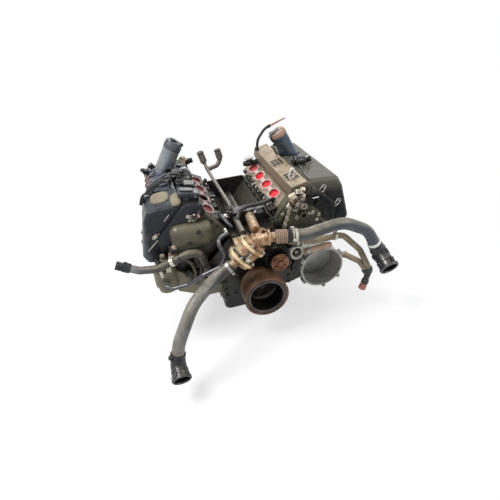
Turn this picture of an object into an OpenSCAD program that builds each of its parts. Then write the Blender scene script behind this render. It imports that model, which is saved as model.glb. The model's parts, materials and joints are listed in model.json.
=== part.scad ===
// Stripped V8 petrol engine: long block, heads, covers, front accessories and coolant hoses.
// The crank axis lies on Y. The origin is on it, at the block's rear face, and -Y is the front.

/* [Cylinders and crank] */
// Cylinder bore
bore_d = 92; // [88:0.5:93]
// Spacing of the bores along one bank
bore_pitch = 98; // [97:0.5:101]
// Piston travel
stroke = 82.7; // [80:0.1:83]
// Connecting rod length, which sets the deck height
rod_length = 140; // [139:0.5:143]
// Piston pin to crown
crown_height = 28; // [27:0.5:30]
// Piston pin to the lower edge of the skirt
skirt_length = 22; // [19:0.5:22]
// Crown below the deck at the top of the travel
deck_clearance = 0.65; // [0.3:0.05:1.2]
// Angle between the two banks
bank_angle = 90; // [89:0.5:91]
// How far the left bank sits in front of the right one
bank_offset = 17.6; // [17:0.2:20]
// Metal between an end bore and the block's end face
end_wall = 21.4; // [20:0.2:26]
// Main journal radius
main_r = 32; // [30:0.5:33]
// Crank pin radius
pin_r = 26; // [24:0.5:27]
// Width of a main bearing wall
main_w = 24; // [22:0.5:25]
// Length of a crank pin
pin_w = 42; // [40:0.5:43]
// Radius of the counterweights
weight_r = 68; // [62:0.5:69]
// Radius of the crank's front nose
nose_r = 17; // [15:0.5:17.5]
// Radial running clearance of shafts and pistons
running_fit = 0.04; // [0.02:0.01:0.08]

/* [Block and sump] */
// Half width of the deck face, either side of the bores
deck_half = 68; // [66:0.5:70]
// Half width of the crankcase
case_half = 135; // [130:1:140]
// Radius of the crank bays
bay_r = 92; // [88:0.5:96]
// Height of the valley floor above the crank axis
valley_z = 122; // [118:1:126]
// Half width of the valley floor
valley_half = 36; // [30:1:40]
// Height of the bedplate below the crank axis
bedplate_h = 62; // [58:1:70]
// Height of the cast upper sump
sump_h = 72; // [60:1:80]
// Depth of the pressed lower sump
pan_h = 71; // [60:1:74]
// Wall of the sump castings
sump_wall = 6; // [4:0.5:8]
// Thickness of the rear bell housing flange
bell_t = 16; // [12:1:20]
// Radius of the bell housing flange
bell_r = 212; // [206:1:220]
// Radius of the bell housing's bolt circle
bell_bolt_r = 198; // [194:1:200]

/* [Heads and cams] */
// Thickness of a head gasket
gasket_t = 1; // [0.8:0.1:1.5]
// Height of a head from its gasket to the cover joint
head_h = 107; // [104:0.5:110]
// Outer edge of the head, measured from the bore axis
head_out = 112; // [110:1:116]
// Inner edge of the cover joint, measured from the bore axis
head_in = 98; // [97:1:102]
// Height of the intake port centres above the deck
port_up = 65; // [63:0.5:67]
// Distance of the port centres from the bore axis
port_in = 86; // [85:0.5:87]
// Tilt of the port face from the bore axis
port_tilt = 72; // [70:0.5:74]
// Length of a port opening
port_l = 62; // [56:0.5:64]
// Width of a port opening
port_w = 38; // [34:0.5:40]
// Camshaft axis above the cover joint
cam_up = 22; // [21:0.5:24]
// Camshaft axis from the bore axis
cam_x = 46; // [45:0.5:47]
// Camshaft bearing radius
cam_r = 14; // [12:0.5:15]
// Base circle radius of a cam
lobe_r = 17; // [16:0.5:18]
// Lift of a cam
lobe_lift = 9.7; // [8:0.1:10]
// Tip radius of a cam sprocket
cam_wheel_r = 41; // [40:0.5:42]
// Width of a chain
chain_w = 8; // [6:0.5:9]
// Radial thickness of a chain
chain_t = 4; // [3:0.5:5]

/* [Covers] */
// Wall of the cam covers
cover_wall = 4; // [3:0.5:5]
// Height of the cam cover plateau above the cover joint
plateau_h = 81; // [79:0.5:86]
// Height of the outer cover's ridge above the cover joint
ridge_h = 164; // [160:1:168]
// Wall of the plastic outer covers
plastic_wall = 3.5; // [2.5:0.5:4]
// Corner rounding of the outer covers
cover_round = 16; // [12:1:20]
// Front end of the outer covers, in front of the rear face
outer_front = 478; // [470:1:484]
// Rear end of the left outer cover
left_outer_rear = 316; // [312:1:320]
// Length of a slot in the cover strip
slot_l = 12; // [8:0.5:13]
// Width of a slot in the cover strip
slot_w = 3.6; // [2:0.2:4.4]

/* [Timing case] */
// Depth of the upper timing cases in front of the block
chest_depth = 40; // [39:1:46]
// Depth of the lower timing case in front of the block
case_depth = 74; // [70:1:80]
// Wall of the timing cases
case_wall = 6; // [4:0.5:7]

/* [Pulley and flexplate] */
// Outer radius of the crank pulley
pulley_r = 79; // [76:0.5:82]
// Inner radius of the pulley's front opening
pulley_mouth_r = 62; // [58:0.5:64]
// Rear edge of the pulley, in front of the rear face
pulley_rear = 560; // [552:1:566]
// Front edge of the pulley, in front of the rear face
pulley_front = 647; // [640:1:652]
// Thickness of the pulley's web
pulley_web = 12; // [10:0.5:16]
// Radius of the flexplate
flex_r = 150; // [145:1:155]
// Thickness of the flexplate
flex_t = 3.5; // [2.5:0.5:5]
// Radius of the converter bolt circle
flex_bolt_r = 115; // [105:1:125]

/* [Front accessories] */
// Centre of the alternator housing across the engine
alt_x = 231; // [226:1:236]
// Height of the alternator housing's centre
alt_z = 39; // [34:1:44]
// Outer radius of the alternator housing
alt_r = 80; // [76:0.5:82]
// Wall of the alternator housing
alt_wall = 4; // [3:0.5:6]
// Front edge of the alternator housing
alt_front = 602; // [590:1:610]
// Centre of the water pump across the engine
pump_x = 66; // [62:1:70]
// Height of the water pump's centre
pump_z = 108; // [104:1:112]
// Radius of the water pump's body
pump_r = 46; // [42:0.5:48]
// Radius of the water pump's drive disc
pump_disc_r = 33; // [30:0.5:35]
// Radius of the thermostat drum
drum_r = 40; // [36:0.5:42]
// Outer radius of the big coolant hoses
hose_r = 21; // [18:0.5:22]
// Wall of the big coolant hoses
hose_wall = 4; // [3:0.5:5]
// Radius of the small coolant hoses
small_hose_r = 11; // [9:0.5:12]
// Radius of the thin steel pipe
thin_r = 6; // [4:0.5:7]
// Radius of the valve-lift motors
motor_r = 34; // [31:0.5:36]
// Length of the valve-lift motors
motor_l = 128; // [118:1:134]

/* [Hidden] */
$fn = 48;
joint_gap = 0.02;
bend_step = 30;
slight_bend = 20;
seal_gap = 0.1;
half = bank_angle / 2;
deck = stroke / 2 + rod_length + crown_height + deck_clearance;
block_l = 2 * end_wall + bore_d + 3 * bore_pitch + bank_offset;
head_z = deck + gasket_t;
joint_z = head_z + head_h;
cam_z = joint_z + cam_up;
ridge_z = joint_z + ridge_h;
throw_angle = [0, 90, 270, 180];
web_t = (bore_pitch - main_w - pin_w) / 2;
shell_t = 2.5;
chest_front = -block_l - chest_depth;
case_front = -block_l - case_depth;
alt_back = -case_front;
cam_wheel_y = [-block_l - 11, -block_l - 24];
crank_wheel_r = cam_wheel_r / 2;
sump_floor = -bedplate_h - sump_h - pan_h;
big = 1000;

// Position of cylinder k, counted from the rear, on the right (1) or left (-1) bank
function cyl_y(side, k) = -(end_wall + bore_d / 2 + (side < 0 ? bank_offset : 0) + k * bore_pitch);
// Centre of crank throw k, and of main bearing j
function throw_y(k) = -(end_wall + bore_d / 2 + bank_offset / 2 + k * bore_pitch);
function main_y(j) = throw_y(j - 0.5);
// Pin height of a piston above the crank axis at rest
function pin_up(side, k) = let (a = throw_angle[k] - side * half)
    stroke / 2 * cos(a) + sqrt(pow(rod_length, 2) - pow(stroke / 2 * sin(a), 2));
// Bank coordinates (across the bank, along the bore) as engine coordinates (X, Z)
function in_bank(p) = [p[0] * cos(half) + p[1] * sin(half), p[1] * cos(half) - p[0] * sin(half)];
function mirrored(points) = [for (i = [len(points) - 1:-1:0]) [-points[i][0], points[i][1]]];

// A bank's own frame: X outwards, Z up the bores
module bank(side) {
    mirror([side < 0 ? 1 : 0, 0, 0]) rotate([0, half, 0]) children();
}

// A section drawn in X and Z, run along Y from front to rear
module along_y(front, rear) {
    translate([0, rear, 0]) rotate([90, 0, 0]) linear_extrude(height = rear - front) children();
}

module cyl_along_y(front, rear, r) {
    translate([0, rear, 0]) rotate([90, 0, 0]) cylinder(h = rear - front, r = r);
}

module ring_along_y(front, rear, r, bore) {
    difference() {
        cyl_along_y(front, rear, r);
        cyl_along_y(front - 1, rear + 1, bore);
    }
}

// A round bar between two points
module bar(a, b, r) {
    d = b - a;
    l = norm(d);
    translate(a) rotate([0, acos(d[2] / l), atan2(d[1], d[0])]) cylinder(h = l, r = r);
}

// A straight length of tube from a to b
module tube(a, b, r, bore) {
    d = b - a;
    l = norm(d);
    translate(a) rotate([0, acos(d[2] / l), atan2(d[1], d[0])]) linear_extrude(height = l) ring(r, bore);
}

module ring(r, bore) {
    difference() {
        circle(r = r);
        if (bore > 0) circle(r = bore);
    }
}

function unit(v) = v / norm(v);
// Length of straight tube that a bend of radius big_r takes at corner i of a route
function bend_cut(points, i, big_r) = i <= 0 || i >= len(points) - 1 ? 0 :
    big_r * tan(acos(unit(points[i] - points[i - 1]) * unit(points[i + 1] - points[i])) / 2);

// Points along the arc of radius big_r that rounds corner i of a route, or the corner itself if it is slight
function bend_points(points, i, big_r) =
    let (u = unit(points[i] - points[i - 1]), v = unit(points[i + 1] - points[i]), turn = acos(u * v),
        e = cross(u, unit(cross(u, v))), c = points[i] - u * bend_cut(points, i, big_r) - e * big_r,
        steps = ceil(turn / bend_step))
    turn < slight_bend ? [points[i]] :
        [for (k = [0:steps]) c + big_r * (e * cos(turn * k / steps) + u * sin(turn * k / steps))];
// A route with its corners rounded, or as it is where big_r is 0
function bent(points, big_r) = let (last = len(points) - 1) big_r == 0 ? points :
    concat([points[0]], [for (i = [1:1:last - 1]) each bend_points(points, i, big_r)], [points[last]]);
// Direction of the mitre plane at point i of a route
function mitre_dir(p, i) = let (last = len(p) - 1)
    unit((i > 0 ? unit(p[i] - p[i - 1]) : [0, 0, 0]) + (i < last ? unit(p[i + 1] - p[i]) : [0, 0, 0]));
// Keeps what lies in front of the plane through a that faces d, less half of the joint
module in_front(a, d) {
    intersection() {
        children();
        translate(a) rotate([0, acos(d[2]), atan2(d[1], d[0])])
            translate([-big / 2, -big / 2, joint_gap / 2]) cube(big);
    }
}
// A hollow or solid pipe along a route, each corner rounded to the radius big_r, in mitred lengths
module pipe(points, big_r, r, bore = 0) {
    p = bent(points, big_r);
    for (i = [0:len(p) - 2]) {
        d = unit(p[i + 1] - p[i]);
        in_front(p[i], mitre_dir(p, i)) in_front(p[i + 1], -mitre_dir(p, i + 1))
            tube(p[i] - 2 * r * d, p[i + 1] + 2 * r * d, r, bore);
    }
}

// A hexagon head bolt along Z, its head's seat at 0
module bolt(r, l) {
    translate([0, 0, -l]) cylinder(h = l + r / 2, r = r);
    cylinder(h = r * 1.3, r = r * 1.75, $fn = 6);
}

module stadium(l, w) {
    square([w, l - w], center = true);
    for (s = [-1, 1]) translate([0, s * (l - w) / 2]) circle(r = w / 2);
}

// ---- Block and sump ----
function head_y(side, j) = cyl_y(side, j - 0.5);
bay_l = bore_pitch - main_w + 0.6;
skirt_low = rod_length - stroke / 2 - skirt_length;
stud_x = deck_half - 12;
stud_r = 5;
pad_front = -500;
pad_rear = -300;
pad_z = [-58, -6];
side_step = 20;

module block_outline() {
    right = [[valley_half, valley_z], in_bank([-deck_half, deck]), in_bank([deck_half, deck]),
        in_bank([deck_half, deck - bore_d]), [case_half, side_step], [case_half, 0]];
    polygon(concat(right, mirrored(right)));
}

module bell_flange(low, high) {
    intersection() {
        cyl_along_y(-bell_t, 0, bell_r);
        translate([-big / 2, -bell_t - 1, low]) cube([big, bell_t + 2, high - low]);
    }
}
// A bell housing bolt's hole, a degrees from the top of the bolt circle
module bell_hole(a, depth) {
    rotate([0, a, 0]) translate([0, 0, bell_bolt_r]) cyl_along_y(-depth, 1, stud_r + 0.5);
}

// Everything that is bored along the crank's direction in block and bedplate
module crank_tunnel() {
    for (k = [0:3]) cyl_along_y(throw_y(k) - bay_l / 2, throw_y(k) + bay_l / 2, bay_r);
    cyl_along_y(-block_l - 1, 1, main_r + shell_t);
    cyl_along_y(-end_wall + 8, 1, seal_rear_r);
    for (a = [-105, -75, 75, 105]) bell_hole(a, bell_t + 1);
    for (a = [-35, 35]) bell_hole(a, bell_t - 4);
}

module engine_block() color("DimGray") difference() {
    union() {
        along_y(-block_l, 0) block_outline();
        difference() {
            bell_flange(0, bell_r);
            along_y(-bell_t - 1, 1) polygon([[0, valley_z], in_bank([-deck_half, deck + big]),
                [-in_bank([-deck_half, deck + big])[0], in_bank([-deck_half, deck + big])[1]]]);
        }
    }
    crank_tunnel();
    for (side = [-1, 1]) bank(side) {
        translate([-big / 2, -big + 1, deck]) cube(big);
        for (k = [0:3]) translate([0, cyl_y(side, k), 0]) {
            translate([0, 0, skirt_low - 4]) cylinder(h = deck, r = bore_d / 2);
            for (s = [-1, 1]) translate([0, 0, deck - 72]) difference() {
                intersection() {
                    cylinder(h = 73, r = bore_d / 2 + 12);
                    translate([s > 0 ? 0 : -big, -big / 2, 0]) cube(big);
                }
                for (n = [-1:1]) translate([0, n * bore_pitch, -1])
                    cylinder(h = 75, r = bore_d / 2 + 6);
            }
        }
        for (j = [0:4]) for (x = [-1, 1]) translate([x * stud_x, head_y(side, j), deck - 60])
            cylinder(h = 61, r = stud_r + seal_gap);
    }
}

module bedplate() color("DimGray") difference() {
    union() {
        translate([-case_half, -block_l, -bedplate_h]) cube([2 * case_half, block_l, bedplate_h]);
        bell_flange(-bedplate_h, 0);
    }
    crank_tunnel();
}

module rounded_plate(w, front, rear, z, t, r) {
    translate([0, 0, z]) linear_extrude(height = t) {
        translate([-w + r, front]) square([2 * (w - r), rear - front]);
        translate([-w, front + r]) square([2 * w, rear - front - 2 * r]);
        for (x = [-1, 1]) for (y = [front + r, rear - r]) translate([x * (w - r), y]) circle(r = r);
    }
}

sump_flange = 10;
pan_front = -block_l + 20;
pan_rear = -24;
pan_inset = 8;
pan_wall = 3;
pan_r = 26;

module oil_sump() color("DarkGray") {
    top = -bedplate_h;
    low = top - sump_h;
    difference() {
        union() {
            rounded_plate(case_half + 5, -block_l, -2, top - sump_flange, sump_flange, 6);
            rounded_plate(case_half, -block_l + 6, -8, low, sump_h, 10);
            for (y = [-block_l + 70:90:-60]) translate([-case_half - 4, y, low])
                cube([2 * case_half + 8, 8, sump_h - 1]);
        }
        rounded_plate(case_half - sump_wall, -block_l + 6 + sump_wall, -8 - sump_wall, low - 1,
            sump_h + 2, 10);
    }
}

module sump_pan() color("DimGray") {
    low = sump_floor;
    difference() {
        union() {
            rounded_plate(case_half - 1, pan_front - 8, pan_rear + 8, low + pan_h - 4, 4, 12);
            rounded_plate(case_half - pan_inset, pan_front, pan_rear, low, pan_h, pan_r);
        }
        rounded_plate(case_half - pan_inset - pan_wall, pan_front + pan_wall, pan_rear - pan_wall,
            low + pan_wall, pan_h, pan_r - pan_wall);
        drain_place() translate([0, 0, -20]) cylinder(h = 40, r = drain_r + seal_gap);
    }
}

drain_r = 7;
module drain_place() {
    translate([case_half - pan_inset, -120, sump_floor + 26]) rotate([0, 90, 0]) children();
}
module sump_drain_plug() color("Silver") drain_place() {
    bolt(drain_r, 12);
}

module main_bearings() color("Silver") {
    for (j = [0:4]) for (s = [0, 180]) rotate([0, s, 0]) intersection() {
        ring_along_y(main_y(j) - main_w / 2 + 1, main_y(j) + main_w / 2 - 1, main_r + shell_t,
            main_r + running_fit);
        translate([-big / 2, -big, 0.05]) cube(big);
    }
}

// ---- Crank train ----
crank_flange_r = 44;
seal_rear_r = 52;
seal_front_r = 32;
crank_flange_t = 8;
hub_r = 24;
hub_back = 506;
crank_bolt_r = 8;
flex_ring_r = 5;
crank_pcd_r = 34;

module crank_seals() color("Black") {
    ring_along_y(-end_wall + 9, -end_wall + 20, seal_rear_r, crank_flange_r + running_fit);
    ring_along_y(case_front, case_front + 9, seal_front_r, hub_r + running_fit);
}

module crank_web(k, front, rear) {
    rotate([0, throw_angle[k], 0]) along_y(front, rear) {
        circle(r = main_r + 6);
        translate([0, stroke / 2]) circle(r = pin_r + 4);
        translate([-pin_r - 4, 0]) square([2 * (pin_r + 4), stroke / 2]);
        intersection() {
            circle(r = weight_r);
            translate([-big / 2, -big - 6]) square(big);
        }
    }
}

module crankshaft() color("SlateGray") difference() {
    union() {
        for (j = [0:4]) cyl_along_y(main_y(j) - main_w / 2, main_y(j) + main_w / 2, main_r);
        for (k = [0:3]) {
            rotate([0, throw_angle[k], 0]) translate([0, 0, stroke / 2])
                cyl_along_y(throw_y(k) - pin_w / 2, throw_y(k) + pin_w / 2, pin_r);
            for (s = [-1, 1]) {
                mid = throw_y(k) + s * (pin_w + web_t) / 2;
                crank_web(k, mid - web_t / 2, mid + web_t / 2);
            }
        }
        cyl_along_y(main_y(0), crank_flange_t, main_r);
        cyl_along_y(-end_wall + 9, crank_flange_t, crank_flange_r);
        cyl_along_y(-pulley_rear, main_y(4), nose_r);
    }
    cyl_along_y(-pulley_rear - 1, -pulley_rear + 52, crank_bolt_r + seal_gap);
    for (a = [0:45:315]) rotate([0, a, 0]) translate([0, 0, crank_pcd_r])
        cyl_along_y(-10, crank_flange_t + 1, flex_ring_r + seal_gap);
}

// A toothed wheel's outline with n teeth
module wheel_outline(n, tip, depth) {
    polygon([for (i = [0:4 * n - 1]) let (r = i % 4 < 2 ? tip : tip - depth)
        [r * cos(360 * (i + 0.2) / (4 * n)), r * sin(360 * (i + 0.2) / (4 * n))]]);
}

module crank_sprocket() color("Gray") for (y = cam_wheel_y) difference() {
    union() {
        along_y(y - chain_w / 2, y + chain_w / 2) wheel_outline(18, crank_wheel_r + 3, 3);
        cyl_along_y(y - 6.9, y + 6.9, crank_wheel_r - 0.5);
    }
    cyl_along_y(y - 10, y + 10, nose_r + running_fit);
}

rib_count = 8;
rib_pitch = 6;
module crank_pulley() color("SaddleBrown") rotate([90, 0, 0]) rotate_extrude($fn = 96) {
    bore = nose_r + running_fit;
    first = pulley_rear + 20;
    polygon(concat([[bore, hub_back], [hub_r, hub_back], [hub_r, pulley_rear],
        [pulley_r - 2, pulley_rear], [pulley_r - 2, first - 6], [pulley_r, first - 4]],
        [for (i = [0:rib_count - 1]) each [[pulley_r, first + i * rib_pitch],
            [pulley_r - 3.5, first + (i + 0.5) * rib_pitch]]],
        [[pulley_r, first + rib_count * rib_pitch], [pulley_r + 1.5, first + rib_count * rib_pitch + 2],
        [pulley_r + 1.5, pulley_front - 9], [pulley_r - 3, pulley_front - 5],
        [pulley_r - 6, pulley_front], [pulley_mouth_r + 2, pulley_front],
        [pulley_mouth_r, pulley_front - 3], [pulley_mouth_r - 1, pulley_rear + pulley_web + 8],
        [pulley_mouth_r - 9, pulley_rear + pulley_web], [crank_bolt_r + seal_gap, pulley_rear + pulley_web],
        [crank_bolt_r + seal_gap, pulley_rear + seal_gap], [bore, pulley_rear + seal_gap]]));
}

module crank_bolts() color("DarkSlateGray") {
    translate([0, -pulley_rear - pulley_web, 0]) rotate([90, 0, 0]) bolt(crank_bolt_r, 55);
    for (a = [0:45:315]) rotate([0, a, 0]) translate([0, crank_flange_t + flex_t, crank_pcd_r])
        rotate([-90, 0, 0]) bolt(flex_ring_r, flex_t + 14);
}

module flexplate() color("Silver") difference() {
    union() {
        cyl_along_y(crank_flange_t, crank_flange_t + flex_t, flex_r);
        difference() {
            along_y(crank_flange_t, crank_flange_t + 3 * flex_t) wheel_outline(90, flex_r + 5, 4);
            cyl_along_y(0, crank_flange_t + 4 * flex_t, flex_r - 6);
        }
    }
    for (a = [0:45:315]) rotate([0, a, 0]) translate([0, 0, crank_pcd_r])
        cyl_along_y(0, 30, flex_ring_r + seal_gap);
    for (a = [0:60:300]) rotate([0, a + 30, 0]) translate([0, 0, flex_bolt_r]) cyl_along_y(0, 30, 5.5);
    for (a = [0:60:300]) rotate([0, a, 0]) translate([0, 0, 82]) cyl_along_y(0, 30, 20);
}

piston_r = bore_d / 2 - running_fit;
module piston(side, k) color("Silver") bank(side) translate([0, cyl_y(side, k), pin_up(side, k)]) {
    difference() {
        union() {
            translate([0, 0, -skirt_length]) cylinder(h = skirt_length + crown_height, r = piston_r - 0.4);
            translate([0, 0, -skirt_length]) cylinder(h = skirt_length + crown_height - 20, r = piston_r);
            for (z = [6, 11, 17]) translate([0, 0, crown_height - z]) cylinder(h = 2, r = piston_r);
        }
        translate([0, 0, -skirt_length - 1]) cylinder(h = skirt_length + crown_height - 9, r = piston_r - 7);
        cyl_along_y(-bore_d, bore_d, 10 + running_fit);
    }
    difference() {
        intersection() {
            for (s = [-1, 1]) cyl_along_y(s * 27 - 12, s * 27 + 12, 17);
            cylinder(h = big, r = piston_r - 6, center = true);
        }
        cyl_along_y(-bore_d, bore_d, 10 + running_fit);
    }
    ring_along_y(-34, 34, 10, 6);
}
module piston_right_1() piston(1, 0);
module piston_right_2() piston(1, 1);
module piston_right_3() piston(1, 2);
module piston_right_4() piston(1, 3);
module piston_left_1() piston(-1, 0);
module piston_left_2() piston(-1, 1);
module piston_left_3() piston(-1, 2);
module piston_left_4() piston(-1, 3);

// ---- Heads ----
valve_x = 19;
valve_y = 19.5;
valve_head_r = 15.5;
stem_r = 3;
chamber_h = 8;
spring_r = 10.5;
spring_seat = 68;
pocket_h = 28;
pocket_in = 67;
pocket_out = 94;
post_w = 16;
plug_r = 7;
plug_tip = 4;
plug_seat = 31;
well_r = 12.5;
tube_r = 17;
port_face_half = 34;
exhaust_up = 57;
exhaust_r = 17;
head_rear = -4;
valve_tilt = atan((cam_x - valve_x) / (cam_z - head_z - chamber_h));
valve_l = norm([cam_x - valve_x, cam_z - head_z - chamber_h]) - lobe_r - lobe_lift - 1;
pocket_z = joint_z - pocket_h;
valve_sides = [-1, 1];

function port_edge(t) = [-port_in + t * cos(port_tilt), deck + port_up + t * sin(port_tilt)];

module valve_place(k, s, dir, i) {
    translate([dir * valve_x, cyl_y(s, k) + i * valve_y, head_z + chamber_h])
        rotate([0, dir * valve_tilt, 0]) children();
}

module port_place(k, s) {
    translate([-port_in, cyl_y(s, k), deck + port_up]) rotate([0, -port_tilt, 0]) children();
}

module head_gaskets() color("DarkSlateGray") for (side = [-1, 1]) bank(side) difference() {
    translate([-deck_half, -block_l, deck]) cube([2 * deck_half, block_l + head_rear, gasket_t]);
    for (k = [0:3]) translate([0, cyl_y(side, k), deck - 1]) cylinder(h = 3, r = bore_d / 2 + 1);
    for (j = [0:4]) for (x = [-1, 1]) translate([x * stud_x, head_y(side, j), deck - 1])
        cylinder(h = 3, r = stud_r + 0.5);
}

module head_section() {
    polygon([[-deck_half - 2, head_z], port_edge(-port_face_half), port_edge(port_face_half),
        [-head_in, joint_z], [head_out, joint_z], [head_out, joint_z - 18], [88, head_z + 24],
        [deck_half + 2, head_z]]);
}

function bowl(dir, i) = [dir * (valve_x + 16 * sin(valve_tilt)), i * valve_y,
    head_z + chamber_h + 16 * cos(valve_tilt)];

module head(side) bank(side) difference() {
    union() {
        difference() {
            along_y(-block_l, head_rear) head_section();
            translate([-pocket_in, -block_l + 10, pocket_z])
                cube([pocket_in + pocket_out, block_l - 24, pocket_h + 1]);
        }
        for (k = [0:3]) translate([0, cyl_y(side, k), 0]) {
            for (x = valve_sides) translate([x * cam_x - 16, -post_w / 2, pocket_z - 1])
                cube([32, post_w, cam_z - pocket_z + 1]);
            translate([0, 0, pocket_z - 1]) cylinder(h = pocket_h + 1, r = tube_r);
        }
        for (x = valve_sides) translate([x * cam_x - 16, -block_l, joint_z - 1])
            cube([32, 14, cam_up + 1]);
    }
    for (x = valve_sides) translate([x * cam_x, 0, cam_z]) cyl_along_y(-block_l - 1, 1, cam_r + running_fit);
    for (k = [0:3]) {
        translate([0, cyl_y(side, k), head_z - 1]) {
            cylinder(h = chamber_h + 1, r = bore_d / 2 - 2);
            cylinder(h = 60, r = plug_r + seal_gap);
            translate([0, 0, plug_tip + plug_seat + 1]) cylinder(h = head_h, r = well_r);
        }
        port_place(k, side) translate([0, 0, -40]) linear_extrude(height = 60) stadium(port_l, port_w);
        translate([100, cyl_y(side, k), head_z + exhaust_up]) rotate([0, 110.3, 0])
            translate([0, 0, -34]) cylinder(h = 60, r = exhaust_r);
        for (i = [-1, 1]) {
            translate([0, cyl_y(side, k), 0]) {
                bar(bowl(-1, i), [-52, i * 13, deck + port_up - 11], 13);
                bar(bowl(1, i), [72, i * 4, head_z + exhaust_up + 10], 12);
            }
            for (dir = valve_sides) valve_place(k, side, dir, i) {
                translate([0, 0, -8]) cylinder(h = 8, r = valve_head_r + 0.5);
                cylinder(h = 22, r = valve_head_r - 2);
                cylinder(h = spring_seat + 5, r = stem_r + seal_gap);
                translate([0, 0, spring_seat]) cylinder(h = 22, r = spring_r + 0.5);
            }
        }
    }
    for (j = [0:4]) for (x = valve_sides) translate([x * stud_x, head_y(side, j), head_z - 1]) {
        cylinder(h = head_h, r = stud_r + 0.5);
        translate([0, 0, pocket_z - head_z + 1]) cylinder(h = 20, r = 11);
    }
}
module cylinder_head_right() color("Silver") head(1);
module cylinder_head_left() color("Gray") head(-1);

module head_bolts() color("DarkSlateGray") for (side = [-1, 1]) bank(side) for (j = [0:4])
    for (x = valve_sides) translate([x * stud_x, head_y(side, j), pocket_z])
        bolt(stud_r, pocket_z - deck + 55);

module valves() color("LightSteelBlue") for (s = [-1, 1]) bank(s) for (k = [0:3]) for (dir = valve_sides)
    for (i = [-1, 1]) valve_place(k, s, dir, i) {
        translate([0, 0, -3]) cylinder(h = 3, r = valve_head_r);
        cylinder(h = 12, r1 = valve_head_r - 3, r2 = stem_r);
        cylinder(h = valve_l, r = stem_r);
        translate([0, 0, valve_l - 9]) cylinder(h = 3, r = spring_r);
        difference() {
            translate([0, 0, spring_seat]) cylinder(h = valve_l - 8 - spring_seat, r = spring_r);
            translate([0, 0, spring_seat - 1]) cylinder(h = valve_l - 9 - spring_seat, r = spring_r - 3.5);
        }
    }

// A camshaft with two lobes a cylinder, its chain wheel in front
module camshaft(side, x, turn) color("LightSlateGray") {
    wheel = cam_wheel_y[side < 0 ? 0 : 1];
    bank(side) translate([x * cam_x, 0, cam_z]) {
        cyl_along_y(wheel - 8.5, -16, cam_r);
        for (k = [0:3]) for (i = [-1, 1]) translate([0, cyl_y(side, k) + i * valve_y, 0])
            rotate([0, turn + throw_angle[k] / 2, 0]) along_y(-5.5, 5.5) {
                circle(r = lobe_r);
                translate([0, lobe_lift]) circle(r = lobe_r - 3);
                translate([0, lobe_lift + 4]) circle(r = lobe_r - 4 - 3);
            }
        difference() {
            union() {
                along_y(wheel - chain_w / 2, wheel + chain_w / 2) wheel_outline(36, cam_wheel_r, 4);
                cyl_along_y(wheel - 7, wheel + 10, cam_wheel_r - 6);
            }
            cyl_along_y(wheel - 20, wheel + 20, cam_r + 0.03);
        }
    }
}
// Where the first lobe of each camshaft stands while the crank is at rest, degrees
intake_turn = 205;
exhaust_turn = 150;
module camshaft_intake_right() camshaft(1, -1, intake_turn);
module camshaft_exhaust_right() camshaft(1, 1, exhaust_turn);
module camshaft_intake_left() camshaft(-1, -1, intake_turn);
module camshaft_exhaust_left() camshaft(-1, 1, exhaust_turn);

module cam_caps() color("Silver") for (side = [-1, 1]) bank(side) for (x = valve_sides) difference() {
    union() {
        for (k = [0:3]) translate([x * cam_x - 16, cyl_y(side, k) - post_w / 2, cam_z])
            cube([32, post_w, cam_r + 6]);
        translate([x * cam_x - 16, -block_l, cam_z]) cube([32, 14, cam_r + 6]);
    }
    translate([x * cam_x, 0, cam_z]) cyl_along_y(-block_l - 1, 1, cam_r + running_fit);
}

// ---- Covers ----
flange_t = 6;
flange_out = head_out + 18;
strip_low = [-head_in - 20, joint_z + 26];
strip_high = [-head_in + 13, joint_z + 77];
dome_z = joint_z + plateau_h;
low_plateau_z = joint_z + 62;
dome_rear = -block_l + 4;
cover_rear = head_rear;
coil_r = 11.5;
coil_head = [34, 40, 14];
motor_y = [-120, -170];
motor_base = [[-43, 423], [-26, 417]];
motor_tilt = [77, 71.4];
boss_l = 52;

module cover_section(top, wall) {
    w = wall;
    polygon([[-head_in - 2 + 1.6 * w, joint_z - (w > 0 ? 1 : 0)], strip_low + [1.4 * w, 0],
        strip_high + [0.9 * w, -1.1 * w], [strip_high[0] + 14, top - w], [70 - 0.6 * w, top - w],
        [head_out - w, joint_z + 32], [head_out - w, joint_z + (w > 0 ? -1 : flange_t)],
        if (w == 0) [flange_out, joint_z + flange_t], if (w == 0) [flange_out, joint_z]]);
}

module motor_place(side) {
    i = side < 0 ? 0 : 1;
    translate([motor_base[i][0], motor_y[i], motor_base[i][1]]) rotate([0, -motor_tilt[i], 0]) children();
}

// The cover's outside, also used to seat what stands on it
module cover_solid() {
    along_y(chest_front, cover_rear) cover_section(low_plateau_z, 0);
    along_y(chest_front, dome_rear) cover_section(dome_z, 0);
}

module strip_slots() {
    rise = strip_high - strip_low;
    for (y = [-240, -400]) for (col = [0:2]) for (row = [-3:3])
        translate([strip_low[0], y + row * 8, strip_low[1]]) rotate([0, -atan2(rise[1], rise[0]), 0])
            translate([9 + col * 15, -slot_w / 2, -8]) cube([slot_l, slot_w, 16]);
}

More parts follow.
